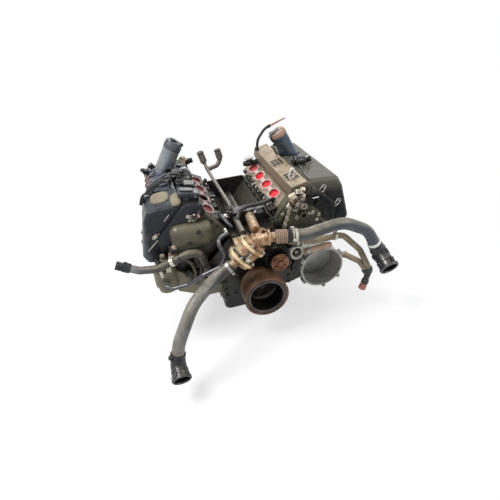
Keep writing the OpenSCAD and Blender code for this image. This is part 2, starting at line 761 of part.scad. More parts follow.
module cam_cover(side) bank(side) difference() {
    union() {
        cover_solid();
        if (side > 0) motor_place(side) translate([0, 0, -boss_l]) cylinder(h = boss_l, r = motor_r + 3);
    }
    along_y(chest_front + cover_wall, cover_rear - cover_wall) cover_section(low_plateau_z, cover_wall);
    along_y(chest_front + cover_wall, dome_rear - cover_wall) cover_section(dome_z, cover_wall);
    if (side > 0) strip_slots();
    for (k = [0:3]) translate([0, cyl_y(side, k), joint_z]) {
        cylinder(h = big, r = well_r);
        translate([-coil_head[0] / 2 - 1, -coil_head[1] / 2 - 1, low_plateau_z - joint_z])
            cube([coil_head[0] + 2, coil_head[1] + 2, coil_head[2] + 1]);
    }
}
module plug_tubes(side) bank(side) for (k = [0:3]) translate([0, cyl_y(side, k), 0]) difference() {
    translate([0, 0, joint_z]) cylinder(h = low_plateau_z - cover_wall - joint_z + 1, r = tube_r);
    translate([0, 0, joint_z - 1]) cylinder(h = big, r = well_r);
}
module cam_cover_right() color("Tan") {
    cam_cover(1);
    plug_tubes(1);
}
module cam_cover_left() color("DimGray") {
    cam_cover(-1);
    plug_tubes(-1);
}

outer_corners = [[-58, 399], [14, ridge_z - 22], [46, ridge_z - 32], [152, 384], [158, 366], [132, 341]];
side_facets = 28;
module outer_hull(front, rear, r) {
    hull() for (p = outer_corners) for (y = [front + cover_round, rear - cover_round])
        translate([p[0], y, p[1]]) sphere(r = r, $fn = side_facets);
}
module cover_seat() {
    for (g = [0:1]) {
        along_y(chest_front - 1, g > 0 ? dome_rear : cover_rear + 1)
            cover_section(g > 0 ? dome_z : low_plateau_z, 0);
        along_y(chest_front - 1, cover_rear + 1)
            polygon([[-big, joint_z - big], [-big, joint_z + flange_t], [flange_out + 1, joint_z + flange_t],
                [flange_out + 1, joint_z - big]]);
    }
}
module outer_shell(side, rear) bank(side) difference() {
    outer_hull(-outer_front, rear, cover_round);
    outer_hull(-outer_front, rear, cover_round - plastic_wall);
    cover_seat();
    if (side > 0) {
        motor_place(side) translate([0, 0, -70]) cylinder(h = 200, r = motor_r + 6);
        grille();
    }
}
module grille() {
    lean = atan2(outer_corners[1][1] - outer_corners[0][1], outer_corners[1][0] - outer_corners[0][0]);
    for (y = [-104:10:-34]) for (col = [0:3]) translate([outer_corners[0][0], y, outer_corners[0][1]])
        rotate([0, -lean, 0]) translate([8 + col * 17, -2.5, cover_round - 8]) cube([13, 5, 16]);
}
module outer_cover_right() color("Black") outer_shell(1, -20);
module outer_cover_left() color("Black") outer_shell(-1, -left_outer_rear);

gear_low = -left_outer_rear + 8;
gear_high = -22;
module gear_section(w) {
    foot = low_plateau_z - (w > 0 ? 1 : 0);
    polygon([[-62 + w, foot], [-66 + w, low_plateau_z + 22], [-6 + w / 2, ridge_z - 22 - w],
        [34 - w / 2, ridge_z - 30 - w], [66 - w, low_plateau_z + 18], [66 - w, foot]]);
}
module lift_gear_housing() color("Silver") bank(-1) difference() {
    union() {
        along_y(gear_low, gear_high) gear_section(0);
        motor_place(-1) translate([0, 0, -boss_l]) cylinder(h = boss_l, r = motor_r + 4);
        for (y = [gear_low + 40:60:gear_high]) along_y(y, y + 6) offset_section();
    }
    motor_place(-1) cylinder(h = motor_l, r = motor_r + 2 + seal_gap);
    along_y(gear_low + 5, gear_high - 5) gear_section(5);
    translate([-big / 2, -big + 1, low_plateau_z - big]) cube([big, big, big]);
    along_y(chest_front, cover_rear) cover_section(low_plateau_z, 0);
}
module offset_section() {
    polygon([[-66, low_plateau_z], [-70, low_plateau_z + 22], [-8, ridge_z - 18], [37, ridge_z - 27],
        [70, low_plateau_z + 18], [70, low_plateau_z]]);
}

module valve_lift_motor(side) bank(side) motor_place(side) {
    cylinder(h = motor_l, r = motor_r);
    translate([0, 0, motor_l - 2]) cylinder(h = 12, r = motor_r - 2);
    translate([0, 0, 8]) cylinder(h = 6, r = motor_r + 2);
    translate([-12, -10, motor_l]) cube([22, 20, 18]);
}
module valve_lift_motor_right() color("SlateGray") valve_lift_motor(1);
module valve_lift_motor_left() color("Silver") valve_lift_motor(-1);

module ignition_coils() color("Black") for (s = [-1, 1]) bank(s) for (k = [0:3])
    translate([0, cyl_y(s, k), 0]) {
        translate([0, 0, pocket_z - 2]) cylinder(h = low_plateau_z - pocket_z + 4, r = coil_r);
        translate([-coil_head[0] / 2, -coil_head[1] / 2, low_plateau_z]) cube(coil_head);
    }

module spark_plugs() color("White") for (s = [-1, 1]) bank(s) for (k = [0:3])
    translate([0, cyl_y(s, k), head_z + plug_tip]) {
        cylinder(h = plug_seat + 1, r = plug_r);
        translate([0, 0, plug_seat]) cylinder(h = 14, r = 10, $fn = 6);
        cylinder(h = pocket_z - 2 - head_z - plug_tip, r = 4.5);
    }

// ---- Timing drive ----
split_z = deck - 10;
chest_in = 95;
case_top = [in_bank([-port_in + 1, split_z]), in_bank([75, split_z])];

module chest_section(w) {
    polygon([[-port_in + 1 + w, split_z - (w > 0 ? 1 : 0)], [-chest_in + w, joint_z - 14],
        [-head_in + 1.3 * w, joint_z + (w > 0 ? 1 : 0)], [head_out - w, joint_z + (w > 0 ? 1 : 0)],
        [head_out - w, joint_z - 18], [88 - w, head_z + 24], [75 - w, split_z - (w > 0 ? 1 : 0)]]);
}
module upper_case(side) bank(side) difference() {
    along_y(chest_front, -block_l) chest_section(0);
    along_y(chest_front + case_wall, -block_l + 1) chest_section(case_wall);
}
module timing_case_upper_right() color("DarkKhaki") {
    upper_case(1);
    bank(1) {
        translate([-8, chest_front, joint_z - 26]) {
            ring_along_y(-12, 0.5, 16, 9);
            translate([-50, 0, -14]) ring_along_y(-10, 0.5, 11, 6);
            translate([66, 0, -30]) ring_along_y(-8, 0.5, 10, 5);
        }
        along_y(chest_front - 7, chest_front + 1) polygon([[-90, joint_z - 6], [-90, joint_z - 16],
            [-78, split_z + 22], [-68, split_z + 22], [-76, joint_z - 6]]);
    }
}
barrel_x = [-258, -168];
barrel_z = [208, 244];
barrel_r = 30;
module timing_case_upper_left() color("DarkKhaki") {
    upper_case(-1);
    difference() {
        hull() for (x = barrel_x) for (z = barrel_z) translate([x, chest_front - 8, z])
            sphere(r = barrel_r, $fn = 28);
        translate([-big, chest_front, -big]) cube(2 * big);
    }
    translate([-300, chest_front - 26, 176]) cube([34, 26 - seal_gap, 22]);
}

module case_section(w) {
    right = [case_top[0] + [w * 0.4, w > 0 ? 1.5 : 0], in_bank([75 - w, split_z + (w > 0 ? 4 : 0)]),
        in_bank([75, deck - bore_d]) - [w, 0], [case_half - w, side_step - w],
        [case_half - w, w - bedplate_h]];
    polygon(concat(w > 0 ? [[0, case_top[0][1] - w]] : [], right, mirrored(right)));
}
module timing_case_lower() color("DimGray") difference() {
    along_y(case_front, -block_l) case_section(0);
    along_y(case_front + case_wall, -block_l + 1) intersection() {
        case_section(case_wall);
        union() {
            translate([-big / 2, -big]) square([big, big + case_top[0][1] - case_wall]);
            for (s = [0, 1]) mirror([s, 0]) polygon([for (p = [[-port_in + 1 + case_wall, split_z - 40],
                [-port_in + 1 + case_wall, split_z + 1], [75 - case_wall, split_z + 1],
                [75 - case_wall, split_z - 40]]) in_bank(p)]);
        }
    }
    cyl_along_y(case_front - 1, -block_l, seal_front_r);
    cyl_along_y(case_front + 9, case_front + case_wall + 8, seal_front_r);
}

module loop_outline(r) {
    hull() {
        circle(r = crank_wheel_r + 3 + r, $fn = 48);
        for (x = valve_sides) translate([x * cam_x, cam_z]) circle(r = cam_wheel_r + r, $fn = 64);
    }
}
module timing_chains() color("DarkSlateGray") for (i = [0:1]) bank(i * 2 - 1)
    along_y(cam_wheel_y[i] - chain_w / 2, cam_wheel_y[i] + chain_w / 2) difference() {
        loop_outline(0.5 + chain_t);
        loop_outline(0.5);
    }

// ---- Valley ----
tray_front = -394;
tray_rear = -16;
tray_wall = 3;
tray_h = 92;
valley_lip = in_bank([-deck_half, deck]);
tray_top = valley_lip[0] - 8.4;
tray_kink = valley_lip[1] - 2.6;
rib_w = 30;
rib_h = 34;
cross_rear = tray_front - 3;
cross_front = -block_l + 2;
cross_top = 250;

module tray_section(w) {
    polygon([[-valley_half + 2 + w, valley_z + w], [valley_half - 2 - w, valley_z + w],
        [tray_top - w, tray_kink], [tray_top - w, valley_z + tray_h + (w > 0 ? 1 : 0)],
        [-tray_top + w, valley_z + tray_h + (w > 0 ? 1 : 0)], [-tray_top + w, tray_kink]]);
}
module valley_tray() color("DarkSlateGray") {
    difference() {
        along_y(tray_front, tray_rear) tray_section(0);
        along_y(tray_front + tray_wall, tray_rear - tray_wall) tray_section(tray_wall);
    }
    translate([-rib_w / 2, tray_front + 30, valley_z + tray_wall - 0.5])
        cube([rib_w, tray_rear - tray_front - 60, rib_h]);
}

module crossover_housing() color("DimGray") difference() {
    along_y(cross_front, cross_rear) polygon([[-valley_half + 2, valley_z], [valley_half - 2, valley_z],
        [tray_top - 2, tray_kink + 2], [tray_top - 2, cross_top - 20], [tray_top - 20, cross_top],
        [-tray_top + 30, cross_top], [-tray_top + 8, cross_top - 20], [-tray_top + 8, tray_kink - 4]]);
    for (t = [0:1]) cross_tube(t, 1, seal_gap);
}

// The two coolant tubes over the timing case: the big cast one and the small steel one
tube_end = [[9, 228], [-44, 226]];
tube_start = [[-8, 250], [-47, 236]];
tube_rad = [17, 11];
tube_front_y = -598;
function tube_dir(t) = [tube_end[t][0] - tube_start[t][0], cross_front + 8 - tube_front_y,
    tube_end[t][1] - tube_start[t][1]];
module cross_tube(t, over, fit) {
    a = [tube_start[t][0], tube_front_y, tube_start[t][1]];
    bar(a, a + tube_dir(t) * (1 + over / norm(tube_dir(t))), tube_rad[t] + fit);
}

// ---- Intake side ----
gasket_face_t = 3;
open_port = 2;
module intake_gaskets() color("MistyRose") for (s = [-1, 1]) bank(s) for (k = [0:3]) port_place(k, s)
    linear_extrude(height = gasket_face_t) difference() {
        union() {
            stadium(port_l + 12, port_w + 12);
            if (k < 3) translate([-9, -bore_pitch / 2 - 15]) square([18, 30]);
        }
        stadium(port_l, port_w);
    }
module port_plugs() color("Red") for (s = [-1, 1]) bank(s) for (k = [0:3])
    if (s > 0 || k != open_port) port_place(k, s) translate([0, 0, -12]) linear_extrude(height = 10)
        stadium(port_l - 2 * seal_gap, port_w - 2 * seal_gap);

// ---- Front accessories ----
pump_face = case_front - 8;
pump_front = case_front - 60;
disc_back = -604;
disc_t = 9;
pump_shaft_r = 8;
module water_pump_body() color("DimGray") translate([pump_x, 0, pump_z]) difference() {
    union() {
        cyl_along_y(pump_face, case_front, pump_r + 4);
        cyl_along_y(pump_front, case_front, pump_r);
        cyl_along_y(pump_front - 8, pump_front + 1, 18);
        for (a = [0:22.5:337.5]) rotate([0, a, 0]) translate([-1.5, pump_front - 7, 20]) cube([3, 8, 22]);
    }
    cyl_along_y(pump_front + 8, case_front + 1, pump_r - 6);
    cyl_along_y(pump_front - 20, pump_front + 20, pump_shaft_r + running_fit);
}
module water_pump_rotor() color("SaddleBrown") translate([pump_x, 0, pump_z]) {
    cyl_along_y(disc_back - 1, case_front - 14, pump_shaft_r);
    cyl_along_y(disc_back - disc_t, disc_back, pump_disc_r);
    cyl_along_y(disc_back - disc_t - 7, disc_back - 1, 11);
    cyl_along_y(case_front - 22, case_front - 16, pump_r - 10);
    for (a = [0:60:300]) rotate([0, a, 0]) translate([-1.5, case_front - 36, 7]) cube([3, 15, pump_r - 19]);
    for (a = [45:90:315]) rotate([0, a, 0]) translate([0, disc_back - disc_t, 21]) rotate([90, 0, 0])
        bolt(4, 4);
}

drum_a = [-85, -622, 163];
drum_b = [-17, -622, 225];
drum_dir = (drum_b - drum_a) / norm(drum_b - drum_a);
drum_l = norm(drum_b - drum_a);
neck_r = hose_r - hose_wall - seal_gap;
neck_root = [24, -630, 235];
neck_dir = unit([126, -16, -9]);
neck_end = neck_root + neck_dir * 44;
low_neck_root = drum_a + drum_dir * 10;
low_neck_dir = unit([-44.6, -2, -23.7]);
low_neck_end = low_neck_root + low_neck_dir * 50.5;
drum_foot = [-78, -14, 150, 196];
module drum(fit) {
    bar(drum_a, drum_b, drum_r + fit);
    for (t = [0.12, 0.7])
        bar(drum_a + drum_dir * (drum_l * t - fit), drum_a + drum_dir * (drum_l * t + 8 + fit),
            drum_r + 9 + fit);
}
module thermostat_housing() color("Tan") {
    difference() {
        union() {
            drum(0);
            bar(drum_a + drum_dir * (drum_l - 12), drum_b + drum_dir * 14, drum_r - 12);
            bar(drum_b + drum_dir * 4, neck_root, hose_r + 3);
            bar(neck_root, neck_end, neck_r);
            bar(neck_root - neck_dir * 4, neck_root + neck_dir * 3, hose_r + 6);
            bar(low_neck_root, low_neck_end, neck_r);
            translate([drum_foot[0], -612, drum_foot[2]])
                cube([drum_foot[1] - drum_foot[0], 612 + case_front, drum_foot[3] - drum_foot[2]]);
            cross_tube(0, 0, 0);
            translate([-16, -618, 236]) rotate([20, 40, 0]) cube([26, 22, 34]);
        }
        translate([-10, -622, 242]) rotate([20, 40, 0]) translate([0, -1, 12]) cube([12, 12, 30]);
        bar(neck_root + neck_dir * 6, neck_end + neck_dir, neck_r - 4);
        bar(low_neck_end - low_neck_dir * 30, low_neck_end + low_neck_dir, neck_r - 4);
    }
}

module alternator_housing() color("Silver") translate([alt_x, 0, alt_z]) difference() {
    union() {
        cyl_along_y(-alt_front, -alt_back, alt_r);
        cyl_along_y(-alt_front, -alt_front + 9, alt_r + 3);
        for (a = [62, 130, 175, 235, 300]) rotate([0, a, 0]) translate([0, 0, alt_r + 5])
            cyl_along_y(-alt_front - 2, -alt_front + 26, 8);
        translate([alt_r - 8, 0, -1]) rotate([0, 90, 0]) translate([0, -alt_front + 52, 0])
            cylinder(h = 26, r = 16);
    }
    cyl_along_y(-alt_front - 3, -alt_back - alt_wall, alt_r - alt_wall);
    for (a = [62, 130, 175, 235, 300]) rotate([0, a, 0]) translate([0, 0, alt_r + 5])
        cyl_along_y(-alt_front - 3, -alt_front + 20, 3.5);
    translate([alt_r - 3, -alt_front + 52, -1]) rotate([0, 90, 0])
        cylinder(h = 40, r = small_hose_r + seal_gap);
}

plate_t = 16;
boss_place = [128, 136];
boss_r = 17;
module accessory_bracket() color("DarkGray") {
    difference() {
        union() {
            translate([case_half, -alt_back, pad_z[0]])
                cube([plate_t, pad_rear + alt_back, pad_z[1] - pad_z[0]]);
            along_y(-alt_back, -alt_back + plate_t) polygon([[case_half + 4, pad_z[0]],
                [alt_x + 30, pad_z[0] + 30], [alt_x + 60, alt_z], [alt_x + 20, alt_z + 58],
                [alt_x - 30, alt_z + 44], [case_half + 8, side_step]]);
        }
        for (y = [pad_front + 60, pad_rear - 30]) translate([case_half - 1, y, -32]) rotate([0, 90, 0])
            cylinder(h = plate_t + 2, r = 5);
    }
    difference() {
        translate([boss_place[0], 0, boss_place[1]]) cyl_along_y(case_front - 76, case_front, boss_r);
        translate([boss_place[0], 0, boss_place[1]])
            cyl_along_y(case_front - 77, case_front - 20, boss_r - 6);
        translate([boss_place[0] - 5, case_front - 77, boss_place[1] + 4]) cube([10, 40, 30]);
    }
}

// ---- Hoses and pipes ----
hose_bore = hose_r - hose_wall;
upper_route = [neck_root + neck_dir * 22, neck_root + neck_dir * 127, [285, -642, 240],
    [388, -630, 178], [424, -627, 111]];
upper_mouth = [[424, -627, 111], [446, -630, 70], [452, -698, 38]];
lower_route = [low_neck_end - low_neck_dir * 16, low_neck_end + low_neck_dir * 50, [-262, -702, 90],
    [-332, -758, -8], [-345, -767, -62]];
lower_mouth = [[-345, -767, -62], [-348, -776, -84], [-344, -823, -101]];
// Outer radius of each connector's mouth
upper_mouth_r = 30;
lower_mouth_r = 27;
mouth_wall = 5;
socket_wall = 3;
socket_l = 22;

// A ring on the line from a to b, starting s along it
module clamp(a, b, s, w, r, bore) {
    tube(a + unit(b - a) * s, a + unit(b - a) * (s + w), r, bore);
}
// A quick connector on a hose's end: a sleeve, then a wider bent mouth of radius r with a socket in it
module connector(p, r) {
    d = unit(p[1] - p[0]);
    e = unit(p[2] - p[1]);
    tube(p[0] - d * 26, p[0] - d * 4, hose_r + 4, hose_r + 0.1);
    difference() {
        union() {
            pipe([p[0] + d * seal_gap, p[1], p[2]], r + 8, r, r - mouth_wall);
            tube(p[2] - e * 11, p[2] - e * 2, r + 5, r - 1);
        }
        bar(p[2] - e * socket_l, p[2] + e, r - socket_wall);
    }
}
module upper_hose() color("DarkSlateGray") {
    pipe(upper_route, 70, hose_r, hose_bore);
    clamp(upper_route[0], upper_route[1], 8, 9, hose_r + 2, hose_r + 0.1);
    clamp(upper_route[0], upper_route[1], 26, 9, hose_r + 2, hose_r + 0.1);
    connector(upper_mouth, upper_mouth_r);
}
module lower_hose() color("DarkSlateGray") {
    pipe(lower_route, 50, hose_r, hose_bore);
    clamp(lower_route[0], lower_route[1], 6, 9, hose_r + 2, hose_r + 0.1);
    connector(lower_mouth, lower_mouth_r);
}

left_hose_r = 14;
filter_neck_y = -532;
left_route = [[-456, -523, 170], [-412, -528, 148], [-352, -536, 144], [-240, -551, 188], [-200, -552, 182],
    [-182, -551, 96], [-141, -549, 58], [-141, case_front - seal_gap, 58]];
module left_coolant_hose() color("DimGray") {
    end = left_route[0] - left_route[1];
    pipe(left_route, 0, left_hose_r, left_hose_r - 3);
    tube(left_route[0] - unit(end) * 16, left_route[0] - unit(end) * 1, left_hose_r + 4, left_hose_r + 0.1);
    tube(left_route[0] + unit(end) * seal_gap, left_route[0] + unit(end) * 30, left_hose_r + 1, 9);
    clamp(left_route[2], left_route[3], 64, 12, left_hose_r + 3, left_hose_r + 0.1);
}

heater_route = [[80, -548, 178], [112, -600, 178], [196, -612, 170], [300, -614, 172], [372, -617, 92],
    [420, -618, -8]];
tee_route = [[alt_x + alt_r + 8, -alt_front + 52, alt_z - 1],
    [alt_x + alt_r + 33, -alt_front + 52, alt_z - 1],
    [388, -600, 22], [416, -618, -30]];
tee_leg = [[416, -618, -30], [408, -618, -62], [396, -618, -98]];
tee_dir = unit(tee_leg[2] - tee_leg[1]);
module right_heater_hose() color("Gray") {
    r = small_hose_r;
    difference() {
        union() {
            pipe(heater_route, 26, r);
            pipe(tee_route, 20, r);
            bar(tee_leg[0], tee_leg[1], r + 1);
            bar(tee_leg[1], tee_leg[2], r + 3);
        }
        bar(tee_leg[1] + tee_dir * 2, tee_leg[2] + tee_dir * 2, r - 3);
    }
    clamp(heater_route[3], heater_route[2], 20, 10, r + 5, r + 0.1);
}

thin_route = [[-98, -530, 222], [-142, -566, 224], [-118, -586, 172], [-142, -592, 134], [-206, -592, 116],
    [-262, -566, 72], [-322, -562, 66], [-334, -552, 74], [-334, filter_neck_y - seal_gap, 74]];
valley_route = [[-56, -424, cross_top + seal_gap], [-56, -424, 274], [-74, -50, 282], [-80, -19, 306]];
branch_route = [[-75, -46, 281], [-20, -14, 282], [-5, -6, 306]];
breather_route = [[162, -40, 331], [170, -32, 372], [206, -30, 416], [303, -30, 448]];
module steel_pipes() color("Silver") {
    pipe(thin_route, 12, thin_r);
    pipe(valley_route, 14, 7);
    pipe(branch_route, 14, 7);
    bar([-80, -19, 306], [-92, -16, 356], 13);
    bar([-5, -6, 306], [-12, 0, 350], 13);
    bar([154, -60, 284], [86, -64, 284], 12);
    bar([116, -60, 286], [116, -60, 306], 4);
    bar([116, -60, 304], [116, -60, 312], 20);
    pipe(breather_route, 24, 6);
    difference() {
        cross_tube(1, 0, 0);
        drum(seal_gap);
    }
}

filter_c = [-334, -486];
filter_r = 42;
filter_low = 44;
filter_h = 68;
filter_lid = 10;
module oil_filter_housing() color("DarkKhaki") {
    difference() {
        union() {
            translate([filter_c[0], filter_c[1], filter_low]) cylinder(h = filter_h, r = filter_r);
            translate([filter_c[0], filter_c[1], filter_low - 24]) cylinder(h = 25, r = filter_r - 8);
            translate([filter_c[0], filter_c[1], filter_low + filter_h - 1])
                cylinder(h = filter_lid, r = filter_r - 12);
            along_y(-496, -470) polygon([[-case_half, side_step - 4], [-case_half, -50], [-200, -50],
                [-300, 0], [-310, 80], [-290, 90], [-200, 30]]);
            translate([-case_half - plate_t, pad_front, pad_z[0]])
                cube([plate_t, pad_rear - pad_front, pad_z[1] - pad_z[0]]);
            bar([filter_c[0], filter_neck_y, 74], [filter_c[0], filter_c[1] - 14, 74], 15);
        }
        translate([filter_c[0], filter_c[1], filter_low - 8]) cylinder(h = filter_h + 2, r = filter_r - 6);
    }
}

mount_y = [-286, -206];
mount_out = 205;
stud_hole_r = 6.5;
module engine_mounts() color("DarkGray") for (s = [0, 1]) mirror([s, 0, 0]) difference() {
    along_y(mount_y[0], mount_y[1]) polygon([[case_half, -6], [case_half, -56], [mount_out - 30, -36],
        [mount_out, -36], [mount_out, -20], [mount_out - 30, -20]]);
    translate([mount_out - 18, (mount_y[0] + mount_y[1]) / 2, -60]) cylinder(h = 60, r = stud_hole_r);
    translate([case_half + 12, mount_y[0] - 1, -30]) cube([18, 20, 4]);
}

sensor_x = -286;
module cam_solenoids() color("Goldenrod") {
    bar([sensor_x, chest_front - 13, 176 - seal_gap], [sensor_x, chest_front - 13, 156], 11);
    bar([sensor_x, chest_front - 13, 160], [sensor_x - 10, chest_front - 18, 128], 13);
    bank(1) translate([-44, chest_front, low_plateau_z - 30]) {
        cyl_along_y(-26, 0, 12);
        translate([0, 0, -2]) cyl_along_y(-40, -25, 15);
        translate([40, 0, 8]) cyl_along_y(-30, 0, 11);
    }
}

engine_block();
bedplate();
oil_sump();
sump_pan();
sump_drain_plug();
main_bearings();
crank_seals();
crankshaft();
crank_sprocket();
crank_pulley();
crank_bolts();
flexplate();
piston_right_1();
piston_right_2();
piston_right_3();
piston_right_4();
piston_left_1();
piston_left_2();
piston_left_3();
piston_left_4();
head_gaskets();
cylinder_head_right();
cylinder_head_left();
head_bolts();
valves();
camshaft_intake_right();
camshaft_exhaust_right();
camshaft_intake_left();
camshaft_exhaust_left();
cam_caps();
cam_cover_right();
cam_cover_left();
outer_cover_right();
outer_cover_left();
lift_gear_housing();
ignition_coils();
spark_plugs();
timing_case_upper_right();
timing_case_upper_left();
timing_case_lower();
timing_chains();
valley_tray();
crossover_housing();
intake_gaskets();
port_plugs();
valve_lift_motor_right();
valve_lift_motor_left();
water_pump_body();
water_pump_rotor();
thermostat_housing();
alternator_housing();
accessory_bracket();
upper_hose();
lower_hose();
left_coolant_hose();
right_heater_hose();
steel_pipes();
oil_filter_housing();
engine_mounts();
cam_solenoids();
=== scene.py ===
import json
import math
import random

import bmesh
import bpy
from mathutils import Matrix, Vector
from mathutils.bvhtree import BVHTree


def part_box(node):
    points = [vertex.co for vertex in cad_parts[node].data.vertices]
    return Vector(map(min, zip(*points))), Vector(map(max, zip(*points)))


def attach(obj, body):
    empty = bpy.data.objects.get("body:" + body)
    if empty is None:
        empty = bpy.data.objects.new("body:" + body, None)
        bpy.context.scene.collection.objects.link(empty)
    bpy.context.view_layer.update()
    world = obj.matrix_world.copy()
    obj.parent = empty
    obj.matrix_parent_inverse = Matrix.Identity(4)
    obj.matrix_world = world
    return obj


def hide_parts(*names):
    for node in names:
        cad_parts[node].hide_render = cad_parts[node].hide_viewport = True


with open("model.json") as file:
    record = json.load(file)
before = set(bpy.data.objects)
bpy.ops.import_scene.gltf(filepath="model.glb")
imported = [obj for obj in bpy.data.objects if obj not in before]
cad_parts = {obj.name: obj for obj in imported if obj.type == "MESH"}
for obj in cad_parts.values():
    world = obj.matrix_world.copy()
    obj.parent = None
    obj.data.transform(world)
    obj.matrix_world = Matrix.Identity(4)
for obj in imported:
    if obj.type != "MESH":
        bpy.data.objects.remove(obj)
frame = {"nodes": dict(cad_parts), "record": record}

MM = 0.001
ROOT = "engine"
FRONT = Vector((0, -1, 0))
REAR = Vector((0, 1, 0))
UP = Vector((0, 0, 1))
BANK_HALF = math.radians(45)
PORT_TILT = math.radians(72)
CYLINDER_PITCH = 98
CYLINDER_Y = {1: [-67.4 - CYLINDER_PITCH * k for k in range(4)],
              -1: [-85.0 - CYLINDER_PITCH * k for k in range(4)]}
COVER_FRONT = -486.1
MOTOR_LENGTH = 128
COVER_STUD = [(-1, 10), (1.5, 9.5), (2, 6), (5, 5.4), (5.6, 3)]
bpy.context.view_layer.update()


# ---- Camera ----
CAMERA_PLACE = (-0.260, -1.643, 0.877)
AZIMUTH, ELEVATION, ROLL = (math.radians(a) for a in (-12.14, 33.08, -5.65))


def make_camera():
    """The camera, set by its azimuth, elevation and roll."""
    forward = Vector((-math.sin(AZIMUTH) * math.cos(ELEVATION), math.cos(AZIMUTH) * math.cos(ELEVATION),
                      -math.sin(ELEVATION)))
    level = Vector((math.cos(AZIMUTH), math.sin(AZIMUTH), 0))
    raised = level.cross(forward)
    right = level * math.cos(ROLL) + raised * math.sin(ROLL)
    up = raised * math.cos(ROLL) - level * math.sin(ROLL)
    data = bpy.data.cameras.new("camera")
    data.lens = 27
    data.sensor_width = 36
    data.clip_end = 60
    camera = bpy.data.objects.new("camera", data)
    bpy.context.scene.collection.objects.link(camera)
    matrix = camera.matrix_world.to_3x3()
    for row in range(3):
        matrix[row] = (right[row], up[row], -forward[row])
    camera.matrix_world = matrix.to_4x4()
    camera.location = CAMERA_PLACE
    bpy.context.scene.camera = camera


make_camera()


# ---- Materials ----
def rgb(text):
    """A colour written as it shows on a screen, turned into linear light."""
    out = []
    for i in (0, 2, 4):
        c = int(text[i:i + 2], 16) / 255
        out.append(c / 12.92 if c <= 0.04045 else ((c + 0.055) / 1.055) ** 2.4)
    return out + [1.0]


class Shader:
    """A node material on the object's own coordinates, which are metres in the shared frame."""

    def __init__(self, name):
        self.material = bpy.data.materials.new(name)
        self.material.use_nodes = True
        self.tree = self.material.node_tree
        self.tree.nodes.clear()
        out = self.add("ShaderNodeOutputMaterial")
        self.bsdf = self.add("ShaderNodeBsdfPrincipled")
        self.tree.links.new(self.bsdf.outputs[0], out.inputs["Surface"])
        self.where = self.add("ShaderNodeTexCoord").outputs["Object"]

    def add(self, kind, **settings):
        node = self.tree.nodes.new(kind)
        for key, value in settings.items():
            setattr(node, key, value)
        return node

    def join(self, source, target):
        if hasattr(source, "is_output"):
            self.tree.links.new(source, target)
        else:
            target.default_value = source

    def noise(self, scale, detail=4.0, rough=0.6, twist=0.0):
        node = self.add("ShaderNodeTexNoise")
        self.tree.links.new(self.where, node.inputs["Vector"])
        for key, value in (("Scale", scale), ("Detail", detail), ("Roughness", rough), ("Distortion", twist)):
            node.inputs[key].default_value = value
        return node.outputs["Fac"]

    def fit(self, value, low, high, to_low=0.0, to_high=1.0):
        node = self.add("ShaderNodeMapRange", interpolation_type="SMOOTHSTEP")
        self.join(value, node.inputs["Value"])
        for key, number in (("From Min", low), ("From Max", high), ("To Min", to_low), ("To Max", to_high)):
            node.inputs[key].default_value = number
        return node.outputs["Result"]

    def sum(self, how, a, b):
        node = self.add("ShaderNodeMath", operation=how, use_clamp=False)
        self.join(a, node.inputs[0])
        self.join(b, node.inputs[1])
        return node.outputs[0]

    def mix(self, by, a, b):
        node = self.add("ShaderNodeMix", data_type="RGBA")
        self.join(by, node.inputs[0])
        self.join(a, node.inputs[6])
        self.join(b, node.inputs[7])
        return node.outputs[2]

    def axis(self, index):
        node = self.add("ShaderNodeSeparateXYZ")
        self.tree.links.new(self.where, node.inputs[0])
        return node.outputs[index]

    def upward(self):
        node = self.add("ShaderNodeSeparateXYZ")
        self.tree.links.new(self.add("ShaderNodeNewGeometry").outputs["Normal"], node.inputs[0])
        return node.outputs[2]

    def crevice_shade_mask(self, reach):
        # Mask from ambient occlusion, high in occluded hollows and creases; what it darkens is painted shade.
        node = self.add("ShaderNodeAmbientOcclusion", samples=3, only_local=False)
        node.inputs["Distance"].default_value = reach
        return self.fit(node.outputs["AO"], 0.35, 0.95, 1.0, 0.0)


surfaces = {}


